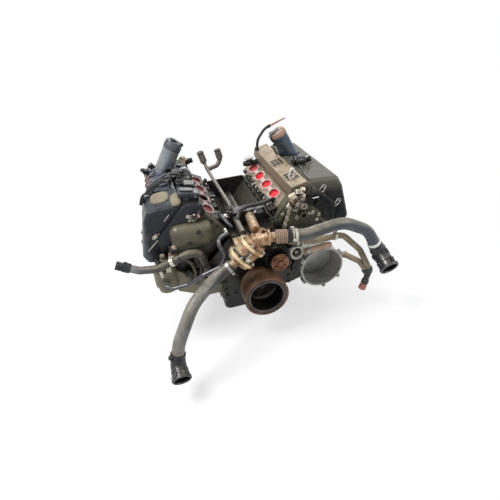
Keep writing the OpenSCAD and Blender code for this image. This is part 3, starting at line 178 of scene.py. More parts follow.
def surface(name, base, second, dirt_and_shade="17120e", dirty=0.35, dust_and_highlight="b4a68e", dust_and_highlight_amount=0.0, rough=0.5, metal=0.0,
            patch=9.0, grain=150.0, bump=0.25, specks=None, speckled=0.25, fades=(), grime_and_shade=0.5, coat=0.0,
            mottle=0.3, shine=0.5):
    """One worn surface: two base colours with dirty patches, painted shade in a grimy colour where hollows
    and creases are occluded, and a pale dusting where it faces up, which on the pulley is also a painted
    highlight.
    """
    s = Shader(name)
    colour = s.mix(s.fit(s.noise(patch, 5, 0.62, 0.4), 0.38, 0.62), rgb(base), rgb(second))
    for axis, low, high, tint, amount in fades:
        place = s.sum("ADD", s.axis(axis), s.sum("MULTIPLY", s.sum("SUBTRACT", s.noise(26, 4), 0.5), 0.05))
        colour = s.mix(s.sum("MULTIPLY", s.fit(place, low * MM, high * MM), amount), colour, rgb(tint))
    fine = s.noise(grain, 5, 0.7)
    colour = s.mix(s.fit(fine, 0.5, 0.75, 0.0, mottle), colour, rgb(dirt_and_shade))
    # Pale specks; on case_front they are painted glints.
    if specks:
        colour = s.mix(s.fit(s.noise(520, 1, 0.5), 0.62, 0.7, 0.0, speckled), colour, rgb(specks))
    colour = s.mix(s.fit(s.noise(patch * 3.3, 6, 0.72, 0.6), 0.62 - dirty * 0.25, 0.8 - dirty * 0.25, 0.0,
                         min(1.0, dirty * 1.4)), colour, rgb(dirt_and_shade))
    # Pale colour on faces that point up: a dusting, which on pulley_rust is also a painted highlight.
    if dust_and_highlight_amount > 0:
        top = s.fit(s.upward(), 0.25, 0.9)
        settled_dust_and_highlight = s.sum("MULTIPLY", top, s.fit(s.noise(34, 5, 0.7), 0.3, 0.62, 0.25, 1.0))
        colour = s.mix(s.sum("MULTIPLY", settled_dust_and_highlight, dust_and_highlight_amount), colour, rgb(dust_and_highlight))
    # Painted shade: occluded creases and hollows are darkened with the dirt colour, part grime and part
    # shade.
    if grime_and_shade > 0:
        colour = s.mix(s.sum("MULTIPLY", s.crevice_shade_mask(0.018), grime_and_shade), colour, rgb(dirt_and_shade))
    s.join(colour, s.bsdf.inputs["Base Color"])
    s.join(s.fit(s.noise(grain * 0.35, 4), 0.3, 0.7, max(0.05, rough - 0.13), min(1.0, rough + 0.14)),
           s.bsdf.inputs["Roughness"])
    s.bsdf.inputs["Metallic"].default_value = metal
    s.bsdf.inputs["Coat Weight"].default_value = coat
    s.bsdf.inputs["Specular IOR Level"].default_value = shine
    relief = s.add("ShaderNodeBump")
    relief.inputs["Strength"].default_value = bump
    relief.inputs["Distance"].default_value = 0.0012
    height = s.sum("ADD", fine, s.sum("MULTIPLY", s.noise(patch * 4, 3), 1.5))
    s.join(height, relief.inputs["Height"])
    s.join(relief.outputs[0], s.bsdf.inputs["Normal"])
    surfaces[name] = s.material
    return s.material


surface("greasy_block", "0d0c0b", "181614", dirt_and_shade="060505", dirty=0.6, dust_and_highlight="463e34", dust_and_highlight_amount=0.12, rough=0.45,
        bump=0.5, specks="7a7368", speckled=0.22, grime_and_shade=0.7)
surface("dark_alloy", "24231f", "36332c", dirt_and_shade="0a0908", dirty=0.55, dust_and_highlight="6d6353", dust_and_highlight_amount=0.3, rough=0.42,
        metal=0.3, bump=0.45, specks="a39c8f", grime_and_shade=0.75)
# Painted glints: the pale specks on this near-black case.
surface("case_front", "121110", "1e1c19", dirt_and_shade="060505", dirty=0.6, dust_and_highlight="554b3d", dust_and_highlight_amount=0.2, rough=0.38,
        metal=0.25, bump=0.5, specks="a39b8c", speckled=0.3, grime_and_shade=0.8)
surface("sump_black", "0f0e0d", "191714", dirt_and_shade="050505", dirty=0.5, dust_and_highlight="3d372f", dust_and_highlight_amount=0.2, rough=0.35,
        bump=0.4)
surface("head_beige", "7d6c5b", "94816d", dirt_and_shade="2f2720", dirty=0.5, dust_and_highlight="ab9a84", dust_and_highlight_amount=0.35, metal=0.2,
        bump=0.45, specks="ddd3c3", speckled=0.3, fades=((2, 200, 120, "231f1b", 0.9),))
surface("head_dark", "343331", "4a4844", dirt_and_shade="0e0c0b", dirty=0.65, dust_and_highlight="7a7163", dust_and_highlight_amount=0.3, rough=0.4,
        metal=0.35, bump=0.45, specks="bdb6aa", speckled=0.35, fades=((2, 190, 120, "171513", 0.85),))
# Painted shade: the strip darkens towards its front end; it is also darker towards the bottom.
surface("cover_tan", "8d7c66", "9e8c74", dirt_and_shade="463a2d", dust_and_highlight="b3a186", dust_and_highlight_amount=0.6, rough=0.6, metal=0.05,
        grain=260, bump=0.35, fades=((1, -330, -480, "6f655a", 0.6), (2, 392, 330, "6a5c4c", 0.75)))
surface("cover_grey", "0e0f11", "191a1e", dirt_and_shade="060606", dirty=0.5, dust_and_highlight="4a463f", dust_and_highlight_amount=0.08, rough=0.55,
        bump=0.3, shine=0.2)
surface("satin_black", "090b0e", "0e1115", dirt_and_shade="060707", dirty=0.1, dust_and_highlight="4a4a48", rough=0.34, patch=4,
        grain=110, bump=0.015, fades=((1, -300, -180, "2c2a26", 0.6), (2, 268, 322, "625f54", 0.75)),
        grime_and_shade=0.2, mottle=0.1, shine=0.3)
# Painted sheen: the outer edge of the left cover, beyond x -352 mm, turns grey.
surface("satin_black_left", "0e1219", "171c25", dirt_and_shade="060708", dirty=0.1, dust_and_highlight="a59a83", rough=0.34, patch=4,
        grain=110, bump=0.02, fades=((0, -352, -384, "5d6064", 0.75),), grime_and_shade=0.3, mottle=0.1, shine=0.35)
surface("dusty_dome", "6d6654", "7e7662", dirt_and_shade="37322a", dust_and_highlight="9a917b", dust_and_highlight_amount=0.35, rough=0.75, bump=0.3)
surface("navy_recess", "161b2b", "20243a", dirt_and_shade="0a0c12", dirty=0.3, rough=0.4, bump=0.15, shine=0.3)
surface("lilac_casting", "474859", "5d5e72", dirt_and_shade="15151b", dirty=0.5, dust_and_highlight="8d8c98", dust_and_highlight_amount=0.3, rough=0.36,
        metal=0.45, patch=20, bump=0.4, specks="dfe0ea", speckled=0.35,
        fades=((0, -306, -336, "8d6b5e", 0.75),))
surface("motor_silver", "7a8186", "868d92", dirt_and_shade="565b5f", dirty=0.04, dust_and_highlight="b1b5b5", dust_and_highlight_amount=0.1, rough=0.3,
        metal=0.4, patch=3, grain=90, bump=0.01, grime_and_shade=0.25, mottle=0.03)
surface("motor_dark_cap", "43484d", "555a60", dirt_and_shade="1e2024", dirty=0.3, rough=0.42, metal=0.3, bump=0.2)
surface("motor_blue", "3f4b5a", "4a5768", dirt_and_shade="1c2026", dirty=0.12, dust_and_highlight="a88f7c", dust_and_highlight_amount=0.15, rough=0.33,
        metal=0.4, patch=4, grain=110, bump=0.02, grime_and_shade=0.3, mottle=0.06)
surface("pink_tan", "8f7462", "a68a76", dirt_and_shade="3f3027", dirty=0.4, dust_and_highlight="c0a993", dust_and_highlight_amount=0.4, rough=0.6,
        bump=0.35)
surface("olive_cast", "504b3d", "5d5746", dirt_and_shade="211e18", dust_and_highlight="756d58", dust_and_highlight_amount=0.25, rough=0.45, metal=0.2,
        bump=0.3, specks="a79f8a", speckled=0.15, fades=((2, 215, 170, "211f19", 0.75),), mottle=0.2)
surface("filter_olive", "6a6450", "7a735c", dirt_and_shade="2a261f", dust_and_highlight="8f8770", dust_and_highlight_amount=0.35, patch=12)
surface("olive_plate", "4d4b39", "5b5842", dirt_and_shade="211f18", dust_and_highlight="7c7560", dust_and_highlight_amount=0.2, rough=0.45, metal=0.25,
        bump=0.3, fades=((2, 215, 160, "1c1a16", 0.8),))
# Painted highlight: the top of the tray, at its rim, is lighter.
surface("tray_dark", "191613", "26211b", dirt_and_shade="090807", dirty=0.5, dust_and_highlight="625747", dust_and_highlight_amount=0.4, bump=0.45,
        specks="8d8476", speckled=0.2, fades=((2, 206, 214, "4b4439", 0.5),))
surface("gasket_white", "dcc9c4", "c9a9a4", dirt_and_shade="5d4a45", dirty=0.4, rough=0.6, patch=40, bump=0.5,
        grime_and_shade=0.3)
surface("gasket_dark", "2c2a28", "3c3936", dirty=0.3, rough=0.6)
surface("red_bright", "e0121f", "c80d19", dirt_and_shade="7a0a0e", dirty=0.2, rough=0.4, grain=90, bump=0.2,
        fades=((0, 0, -60, "5d0c10", 0.9),), grime_and_shade=0.45)
surface("rusty", "6a4229", "855a3d", dirt_and_shade="24150d", dirty=0.5, dust_and_highlight="a5774f", dust_and_highlight_amount=0.25, rough=0.65,
        metal=0.2, patch=30, bump=0.6, specks="b98a63", speckled=0.4)
# The pale colour on faces that point up is a dusting and also a painted highlight along the pulley's top
# edge.
surface("pulley_rust", "49301f", "6b4a35", dirt_and_shade="120c09", dirty=0.5, dust_and_highlight="9a7658", dust_and_highlight_amount=0.5, metal=0.35,
        patch=18, bump=0.45, specks="a88565", speckled=0.35)
surface("steel", "8c8a86", "a19f9b", dirt_and_shade="35322e", rough=0.32, metal=0.85, bump=0.2)
surface("machined", "a8a7a4", "bab8b4", dirt_and_shade="4a4743", dirty=0.15, rough=0.25, metal=0.9, bump=0.08)
surface("dark_steel", "2a2826", "3b3834", dirt_and_shade="0e0c0b", dirty=0.4, rough=0.42, metal=0.6, bump=0.3)
surface("bright_bolt", "cfcabd", "a59f92", dirt_and_shade="463f32", rough=0.3, metal=0.75, bump=0.2)
surface("gold_stain", "6f4e31", "cdb992", dirt_and_shade="22160d", dirty=0.6, dust_and_highlight="e0d2b4", dust_and_highlight_amount=0.3, rough=0.4,
        metal=0.35, patch=30, bump=0.5, specks="f0e6d0", speckled=0.35,
        fades=((0, -100, -45, "a05f2b", 0.5), (1, -560, -500, "a3957c", 0.7)), grime_and_shade=0.7)
surface("pale_alloy", "8f8e88", "a5a39b", dirt_and_shade="3a3832", dust_and_highlight="bdbab0", dust_and_highlight_amount=0.3, rough=0.36, metal=0.5)
surface("shell_alloy", "a3a39e", "aeada7", dirt_and_shade="5c5b55", dirty=0.0, dust_and_highlight="c4c2ba", dust_and_highlight_amount=0.2, rough=0.34,
        metal=0.3, patch=4, bump=0.08, fades=((2, 70, -40, "3f3d37", 0.6), (0, 231, 290, "a3a19a", 0.5)),
        mottle=0.1)
surface("hose_blue", "2b2e2f", "424544", dirt_and_shade="17191a", dirty=0.3, dust_and_highlight="a89c84", dust_and_highlight_amount=0.5, rough=0.34,
        patch=14, fades=((0, 230, 320, "343c48", 0.75), (2, 150, 90, "6c6a66", 0.3)), grime_and_shade=0.4)
surface("hose_grey", "4d4c4a", "6a6763", dirt_and_shade="262422", dirty=0.4, dust_and_highlight="a29a8b", dust_and_highlight_amount=0.5, rough=0.45,
        patch=14, bump=0.3, fades=((0, -225, -150, "1d1a17", 0.92), (2, 20, -50, "958b79", 0.6)), grime_and_shade=0.4)
surface("hose_tan", "6a5d47", "84745a", dirt_and_shade="2c261f", dirty=0.45, dust_and_highlight="b0a187", dust_and_highlight_amount=0.5, patch=18,
        bump=0.35, fades=((2, 70, 0, "8c8370", 0.6),))
surface("hose_left", "39342d", "4b4439", dirt_and_shade="171310", dirty=0.45, dust_and_highlight="857a65", dust_and_highlight_amount=0.45, rough=0.42,
        patch=20, bump=0.35, fades=((0, -352, -385, "454a4e", 0.85), (0, -405, -440, "84888a", 0.85)))
surface("rubber_black", "0f0f0f", "191817", dirt_and_shade="070707", dirty=0.3, dust_and_highlight="4b463d", dust_and_highlight_amount=0.2, rough=0.45,
        grime_and_shade=0.3)
surface("connector_black", "111215", "1c1d21", dirt_and_shade="070708", dirty=0.25, dust_and_highlight="4c4d4f", dust_and_highlight_amount=0.25,
        rough=0.32, bump=0.15)
surface("ribbed_dark", "24272b", "34373b", dirt_and_shade="0d0d0e", dust_and_highlight="7a7468", dust_and_highlight_amount=0.35, rough=0.3, metal=0.3,
        bump=0.2)
# Near-black; as the backing behind the grille bars it is painted shade for the depth of the slots.
surface("deep_dark", "070707", "0c0b0a", dirt_and_shade="040404", dirty=0.3, rough=0.55, bump=0.2, shine=0.2)
surface("cream", "bcae8f", "d3c7aa", dirt_and_shade="54462f", dirty=0.4, dust_and_highlight="e4dac3", dust_and_highlight_amount=0.3, bump=0.3)
surface("white_strap", "ecebe6", "d8d5cd", dirt_and_shade="8a857a", dirty=0.15, bump=0.1, grime_and_shade=0.2)
surface("thin_pipe", "47464b", "5c5b61", dirt_and_shade="1c1b1f", dirty=0.4, dust_and_highlight="8f8c8e", dust_and_highlight_amount=0.4, rough=0.28,
        metal=0.6, bump=0.15)
surface("valley_pipe", "55504a", "69645c", dirt_and_shade="231f1b", dirty=0.4, dust_and_highlight="8f887c", dust_and_highlight_amount=0.5, rough=0.4,
        metal=0.35, bump=0.3)
surface("loom_grey", "3b3c40", "5c5d62", dirt_and_shade="101011", dirty=0.45, dust_and_highlight="9a9a99", dust_and_highlight_amount=0.45, rough=0.38,
        patch=40, bump=0.35)
surface("ring_alloy", "6c6d72", "83848a", dirt_and_shade="222226", dust_and_highlight="b5b5b5", dust_and_highlight_amount=0.3, rough=0.34, metal=0.5,
        patch=30, bump=0.3)
surface("brass_stub", "a07a3c", "c2a060", dirt_and_shade="3e2a14", dirty=0.4, rough=0.35, metal=0.6)
surface("brass", "8a6440", "a2805a", dirt_and_shade="3a2616", rough=0.38, metal=0.5,
        fades=((0, -60, 60, "1d1c1b", 1.0),))
surface("ceramic_white", "cfcac0", "e0dcd4", dirty=0.2, rough=0.25)
surface("pulley_edge", "4d4b49", "6b6967", dirt_and_shade="1a1817", dirty=0.4, rough=0.34, metal=0.7, bump=0.1)
surface("box_slate", "1c1f27", "292d37", dirt_and_shade="0b0c0f", dust_and_highlight="5f6068", dust_and_highlight_amount=0.3, rough=0.4, bump=0.15)
surface("gold_rim", "a07a52", "dcc59c", dirt_and_shade="3c2816", dirty=0.3, dust_and_highlight="efe3c8", dust_and_highlight_amount=0.3, rough=0.3,
        metal=0.55, patch=16)
# Near-black metal; as the lining inside the crank pulley it is painted shade.
surface("bore_dark", "151312", "26221f", dirt_and_shade="070606", dirty=0.3, rough=0.34, metal=0.5, bump=0.1,
        mottle=0.1)
surface("copper_pink", "9b6259", "b17e74", dirt_and_shade="3c2420", dirty=0.4, rough=0.42, metal=0.4)
surface("clear_disc", "b7b8b2", "c6c7c1", dirt_and_shade="77766f", dirty=0.2, rough=0.45, bump=0.15)

by_slot = {
    "cast_iron_black": "greasy_block", "cast_aluminium": "dark_alloy", "machined_steel": "machined",
    "bearing_metal": "steel", "rusty_steel": "rusty", "dark_steel": "dark_steel",
    "head_right_alloy": "head_beige", "head_left_alloy": "head_dark", "cover_tan": "cover_tan",
    "cover_grey": "cover_grey", "cover_plastic": "satin_black", "olive_cast": "olive_cast",
    "black_plastic": "connector_black", "ceramic": "ceramic_white", "gasket": "gasket_white",
    "gasket_dark": "gasket_dark", "red_plug": "red_bright", "motor_blue_grey": "motor_blue",
    "motor_silver": "motor_silver", "gold_stained": "gold_stain", "pale_aluminium": "pale_alloy",
    "hose_rubber": "hose_blue", "hose_tan": "hose_tan", "bright_pipe": "thin_pipe", "brass_body": "brass"}
by_node = {
    "outer_cover_left": "satin_black_left", "lift_gear_housing": "lilac_casting",
    "timing_case_lower": "case_front", "timing_case_upper_right": "olive_plate", "valley_tray": "tray_dark",
    "crossover_housing": "greasy_block", "crank_pulley": "pulley_rust", "sump_pan": "sump_black",
    "alternator_housing": "shell_alloy", "water_pump_body": "case_front", "crank_bolts": "dark_steel",
    "engine_mounts": "dark_alloy", "accessory_bracket": "case_front", "bedplate": "greasy_block",
    "oil_sump": "sump_black", "oil_filter_housing": "filter_olive"}
slot_of = {row["node"]: row["material_slot"] for row in frame["record"]["subparts"]}
for name, node in frame["nodes"].items():
    node.data.materials.clear()
    node.data.materials.append(surfaces[by_node.get(name, by_slot[slot_of[name]])])


# ---- Forms ----
def turned(direction, hint=None):
    """Two unit vectors across a direction, the first one towards the hint."""
    z = Vector(direction).normalized()
    x = Vector(hint) if hint is not None else z.orthogonal()
    x = (x - z * x.dot(z)).normalized()
    return x, z.cross(x), z


def arc_corner(a, corner, b, radius):
    """The points of a round bend in place of one corner of a line."""
    u, v = corner - a, b - corner
    room = 0.48 * min(u.length, v.length)
    u.normalize()
    v.normalize()
    angle = math.acos(max(-1.0, min(1.0, u.dot(v))))
    if angle < 0.03:
        return [corner]
    radius = min(radius, room / math.tan(angle / 2))
    side = (v - u * u.dot(v)).normalized()
    centre = corner - u * radius * math.tan(angle / 2) + side * radius
    steps = max(2, math.ceil(angle / 0.14))
    return [centre + radius * (u * math.sin(angle * i / steps) - side * math.cos(angle * i / steps))
            for i in range(steps + 1)]


class Route:
    """A smooth line through points in millimetres, measured along its length."""

    def __init__(self, points, radius):
        p = [Vector(q) for q in points]
        self.points = [p[0]]
        for i in range(1, len(p) - 1):
            self.points += arc_corner(p[i - 1], p[i], p[i + 1], radius)
        self.points.append(p[-1])
        self.marks = [0.0]
        for a, b in zip(self.points, self.points[1:]):
            self.marks.append(self.marks[-1] + (b - a).length)
        self.length = self.marks[-1]

    def at(self, s):
        i = 0
        while i < len(self.marks) - 2 and self.marks[i + 1] < s:
            i += 1
        a, b = self.points[i], self.points[i + 1]
        return a + (b - a) * ((s - self.marks[i]) / max(1e-6, self.marks[i + 1] - self.marks[i]))

    def frames(self, marks):
        """A place and two directions across the route at each mark, turned as little as can be."""
        out = {}
        normal = None
        for s in marks:
            ahead, behind = self.at(min(s + 2, self.length)), self.at(max(s - 2, 0))
            direction = (ahead - behind).normalized()
            if normal is None:
                normal = turned(direction)[0]
            else:
                normal = (normal - direction * normal.dot(direction)).normalized()
            past_end = s - min(max(s, 0), self.length)
            out[s] = (self.at(s) + direction * past_end, normal, direction.cross(normal))
        return out


class Form:
    """Points and faces in millimetres, gathered into one mesh."""

    def __init__(self):
        self.points, self.faces, self.kinds = [], [], []

    def rings(self, rings, kind=0, closed=False):
        """Joins rings of points with faces, capped at both ends or closed into a loop."""
        start, n, m = len(self.points), len(rings[0]), len(rings)
        for ring in rings:
            self.points += ring
        kinds = kind if isinstance(kind, list) else [kind] * m
        for i in range(m if closed else m - 1):
            j = (i + 1) % m
            for k in range(n):
                q = (k + 1) % n
                self.faces.append((start + i * n + k, start + i * n + q, start + j * n + q,
                                   start + j * n + k))
                self.kinds.append(kinds[i])
        if not closed:
            self.faces.append(tuple(start + k for k in reversed(range(n))))
            self.faces.append(tuple(start + (m - 1) * n + k for k in range(n)))
            self.kinds += [kinds[0], kinds[m - 1]]

    def lathe(self, place, direction, profile, kind=0, sides=28, closed=False):
        """A profile of (height, radius), turned round a direction from place."""
        x, y, z = turned(direction)
        place = Vector(place)
        angles = [2 * math.pi * k / sides for k in range(sides)]
        self.rings([[place + z * h + (x * math.cos(a) + y * math.sin(a)) * r for a in angles]
                    for h, r in profile], kind, closed)

    def sweep(self, route, profile, kind=0, sides=28, closed=True, step=5.0):
        """A profile of (distance along the route, radius), turned round the route."""
        stations, kinds = [], []
        for i, ((s0, r0), (s1, r1)) in enumerate(zip(profile, profile[1:])):
            n = max(1, math.ceil(abs(s1 - s0) / step))
            stations += [(s0 + (s1 - s0) * t / n, r0 + (r1 - r0) * t / n) for t in range(n)]
            kinds += [kind[i] if isinstance(kind, list) else kind] * n
        stations.append(profile[-1])
        kinds.append(kinds[-1])
        where = route.frames(sorted({s for s, r in stations}))
        angles = [2 * math.pi * k / sides for k in range(sides)]
        rings = []
        for s, r in stations:
            p, x, y = where[s]
            rings.append([p + (x * math.cos(a) + y * math.sin(a)) * r for a in angles])
        self.rings(rings, kinds, closed)

    def cable(self, points, radius, kind=0, bend=12, sides=10, step=6.0):
        """A round rod or cable through points, with rounded ends and corners."""
        route = Route(points, bend)
        self.sweep(route, [(0, radius * 0.7), (radius * 0.3, radius), (route.length - radius * 0.3, radius),
                           (route.length, radius * 0.7)], kind, sides, False, step)

    def block(self, place, size, direction=(0, 0, 1), hint=(1, 0, 0), edge=1.5, kind=0, taper=1.0):
        """A moulded block with rounded upright edges and chamfered ends, standing on place."""
        x, y, z = turned(direction, hint)
        place = Vector(place)
        w, d, h = size

        def outline(inset, scale, level):
            r = max(0.3, edge - inset)
            a, b = w / 2 * scale - inset - r, d / 2 * scale - inset - r
            ring = []
            for cx, cy, first in ((a, b, 0), (-a, b, 90), (-a, -b, 180), (a, -b, 270)):
                for turn in (0, 30, 60, 90):
                    t = math.radians(first + turn)
                    ring.append(place + x * (cx + r * math.cos(t)) + y * (cy + r * math.sin(t)) + z * level)
            return ring
        self.rings([outline(edge * 0.6, 1, 0), outline(0, 1, edge * 0.6), outline(0, taper, h - edge * 0.6),
                    outline(edge * 0.6, taper, h)], kind)

    def bolt(self, place, direction, radius=5.0, height=4.5, kind=0):
        """A six-sided bolt head on its round flange."""
        x, y, z = turned(direction)
        place = Vector(place)
        self.lathe(place, direction, [(-0.4, radius * 1.5), (0.8, radius * 1.5), (1.3, radius * 1.15)], kind,
                   18)
        corners = [math.radians(60 * k + 15) for k in range(6)]
        self.rings([[place + z * h + (x * math.cos(a) + y * math.sin(a)) * r for a in corners]
                    for h, r in ((0.9, radius), (height - 0.7, radius), (height, radius * 0.82))], kind)

    def band(self, route, s, width, radius, thickness, kind=0, sides=28):
        """A flat clamp round a hose."""
        self.sweep(route, [(s, radius), (s, radius + thickness), (s + width, radius + thickness),
                           (s + width, radius)], kind, sides, True)

    def made(self, name, materials, body=ROOT, sharp=34, replaces=()):
        """Makes the scene's object from the form, and parents it to the empty of its body."""
        mesh = bpy.data.meshes.new(name)
        mesh.from_pydata([p * MM for p in self.points], [], self.faces)
        for key in materials:
            mesh.materials.append(surfaces[key])
        mesh.polygons.foreach_set("material_index", self.kinds)
        work = bmesh.new()
        work.from_mesh(mesh)
        bmesh.ops.recalc_face_normals(work, faces=work.faces)
        work.to_mesh(mesh)
        work.free()
        mesh.polygons.foreach_set("use_smooth", [True] * len(mesh.polygons))
        mesh.set_sharp_from_angle(angle=math.radians(sharp))
        piece = bpy.data.objects.new(name, mesh)
        bpy.context.scene.collection.objects.link(piece)
        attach(piece, body)
        if replaces:
            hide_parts(*replaces)
        return piece


trees = {}


def seat(name, start, direction, facing=0.0):
    """Where a line from start first meets a CAD node, and the node's outward direction there.

    Both are None where the line misses the node or meets a face that leans too far away from it.
    """
    if name not in trees:
        mesh = frame["nodes"][name].data
        faces = [tuple(p.vertices) for p in mesh.polygons]
        trees[name] = BVHTree.FromPolygons([v.co / MM for v in mesh.vertices], faces)
    way = Vector(direction).normalized()
    place, normal = trees[name].ray_cast(Vector(start), way)[:2]
    if place is None or abs(normal.dot(way)) < facing:
        return None, None
    return place, -normal if normal.dot(way) > 0 else normal


def in_bank(side, x, y, z):
    """A point of a bank's own frame, x outwards and z along the cylinders, in the shared frame."""
    c, s = math.cos(BANK_HALF), math.sin(BANK_HALF)
    return Vector((side * (x * c + z * s), y, z * c - x * s))


def bolts_on(form, name, starts, direction, radius=5.0, height=4.5, kind=0):
    """A bolt at each line's seat on a CAD node, with its head towards where the line came from."""
    for start in starts:
        place = seat(name, start, direction, 0.8)[0]
        if place is not None:
            form.bolt(place, -Vector(direction), radius, height, kind)


# ---- Coolant hoses ----
HOSE_R, HOSE_BORE = 21.0, 17.0
neck_way = Vector((126, -16, -9)).normalized()
neck = Vector((24, -630, 235))
upper = Route([neck + neck_way * 22, neck + neck_way * 127, (285, -642, 240), (388, -630, 178),
               (424, -627, 111), (446, -630, 70), (452, -698, 38)], 110)


def walled(outer, bore):
    """Closes an outer profile with a bore of one radius."""
    return outer + [(outer[-1][0], bore), (outer[0][0], bore)]


def from_end(route, pairs):
    """A profile given from the far end of a route, where distances are negative."""
    return [(route.length + s, r) for s, r in pairs]


def lugs(form, route, s, radius, size, turns, kind):
    """Small blocks round a hose at one place on its route."""
    p, x, y = route.frames([s])[s]
    for turn in turns:
        out = x * math.cos(turn) + y * math.sin(turn)
        form.block(p + out * radius, size, out, x.cross(y), 1.5, kind)


def upper_hose():
    """The upper radiator hose with its ribbed end, clamps and quick connector."""
    form = Form()
    end = upper.length
    ribs = []
    for k in range(6):
        s = 1 + k * 6.5
        ribs += [(s, HOSE_R - 0.6), (s + 1.6, HOSE_R + 2.8), (s + 4.2, HOSE_R + 2.8), (s + 5.8, HOSE_R - 0.6)]
    outer = ribs + [(48, HOSE_R + 0.8), (70, HOSE_R), (end - 130, HOSE_R), (end - 108, HOSE_R + 0.8)]
    profile = walled(outer, HOSE_BORE)
    form.sweep(upper, profile, [1] * (len(ribs) - 1) + [2] + [0] * (len(profile) - len(ribs)), 36, True, 5)
    form.made("upper_hose_skin", ["hose_blue", "pink_tan", "rubber_black"],
              replaces=("upper_hose",))
    trim = Form()
    trim.band(upper, 44, 9, HOSE_R + 0.6, 3, 1, 36)
    trim.band(upper, 57, 3.5, HOSE_R + 0.4, 3.2, 0, 36)
    trim.band(upper, 64, 10, HOSE_R + 0.4, 2.6, 0, 36)
    trim.band(upper, end - 132, 12, HOSE_R + 0.3, 3.6, 2, 36)
    lugs(trim, upper, 61, HOSE_R + 2, (14, 10, 7), (0.0, 2.4), 0)
    trim.made("upper_hose_clamps", ["bright_bolt", "dark_steel", "white_strap"])
    mouth = Form()
    sleeve = [(-116, 22), (-115, 25.6), (-101, 26), (-99, 27.4), (-91, 27.6), (-90, 29.4), (-86, 29.4),
              (-85, 27.8), (-78, 28), (-77, 29.8), (-73, 29.8), (-72, 28.2), (-62, 28.8), (-60, 31.4),
              (-54, 31.4), (-52, 29), (-36, 29.6), (-34, 32.6), (-29, 32.6), (-27, 29.8), (-13, 30.4),
              (-11, 35.2), (-8, 36), (-3, 36), (0, 34)]
    inside = [(0, 29.4), (-4, 27.4), (-21, 27), (-22, 25), (-60, 24.6), (-112, 19)]
    mouth.sweep(upper, from_end(upper, sleeve + inside), [0] * (len(sleeve) - 1) + [0, 0, 2, 2, 2, 2, 2], 44,
                True, 5)
    lugs(mouth, upper, end - 22, 29, (18, 12, 8), (0.4, 2.0, 3.6, 5.2), 1)
    lugs(mouth, upper, end - 66, 28, (14, 9, 6), (1.0, 3.4, 5.6), 1)
    mouth.made("upper_hose_mouth", ["ribbed_dark", "connector_black", "deep_dark"])


upper_hose()

drum_a, drum_b = Vector((-85, -622, 163)), Vector((-17, -622, 225))
drum_way = (drum_b - drum_a).normalized()
low_way = Vector((-44.6, -2, -23.7)).normalized()
low_root = drum_a + drum_way * 10
low_end = low_root + low_way * 50.5
lower = Route([low_end - low_way * 16, low_end + low_way * 50, (-262, -702, 90), (-332, -758, -8),
               (-345, -767, -62), (-348, -776, -84), (-344, -823, -101)], 120)


def lower_hose():
    """The lower radiator hose with its clamps and quick connector."""
    form = Form()
    end = lower.length
    outer = [(0, HOSE_R + 1), (5, HOSE_R + 1.4), (12, HOSE_R), (end - 90, HOSE_R), (end - 66, HOSE_R + 1.4)]
    form.sweep(lower, walled(outer, HOSE_BORE), 0, 36, True, 5)
    form.made("lower_hose_skin", ["hose_grey"], replaces=("lower_hose",))
    trim = Form()
    trim.band(lower, 6, 10, HOSE_R + 0.8, 2.2, 0, 36)
    p, x, y = lower.frames([11])[11]
    trim.block(p + x * (HOSE_R + 2), (16, 11, 8), x, y, 1.5, 0)
    trim.band(lower, end - 96, 11, HOSE_R + 0.6, 3.4, 1, 36)
    p, x, y = lower.frames([end - 90])[end - 90]
    knob = Vector((-0.86, -0.5, 0.1))
    knob = (knob - x.cross(y) * knob.dot(x.cross(y))).normalized()
    trim.block(p + knob * (HOSE_R + 1), (17, 15, 10), knob, x.cross(y), 4, 1)
    trim.lathe(p + knob * (HOSE_R + 10), knob, [(0, 6), (3, 6), (4, 4)], 1, 18)
    trim.made("lower_hose_clamps", ["steel", "connector_black"])
    mouth = Form()
    sleeve = [(-84, 22), (-82, 24.4), (-64, 25), (-58, 25.6), (-44, 26.6), (-36, 27), (-34, 28.6),
              (-31, 28.6), (-29, 27.2), (-24, 27.4), (-22, 29), (-19, 29), (-17, 27.8), (-12, 28),
              (-10, 31.4), (-7, 32), (-2, 32), (0, 30.4)]
    inside = [(0, 26.4), (-4, 24.4), (-21, 24), (-22, 22), (-50, 21.6), (-82, 18)]
    mouth.sweep(lower, from_end(lower, sleeve + inside), [0] * (len(sleeve) - 1) + [0, 0, 1, 1, 1, 1, 1], 44,
                True, 4)
    lugs(mouth, lower, end - 14, 27.4, (14, 9, 6), (0.5, 1.8, 3.1, 4.4, 5.6), 0)
    mouth.made("lower_hose_mouth", ["ribbed_dark", "deep_dark"])


lower_hose()


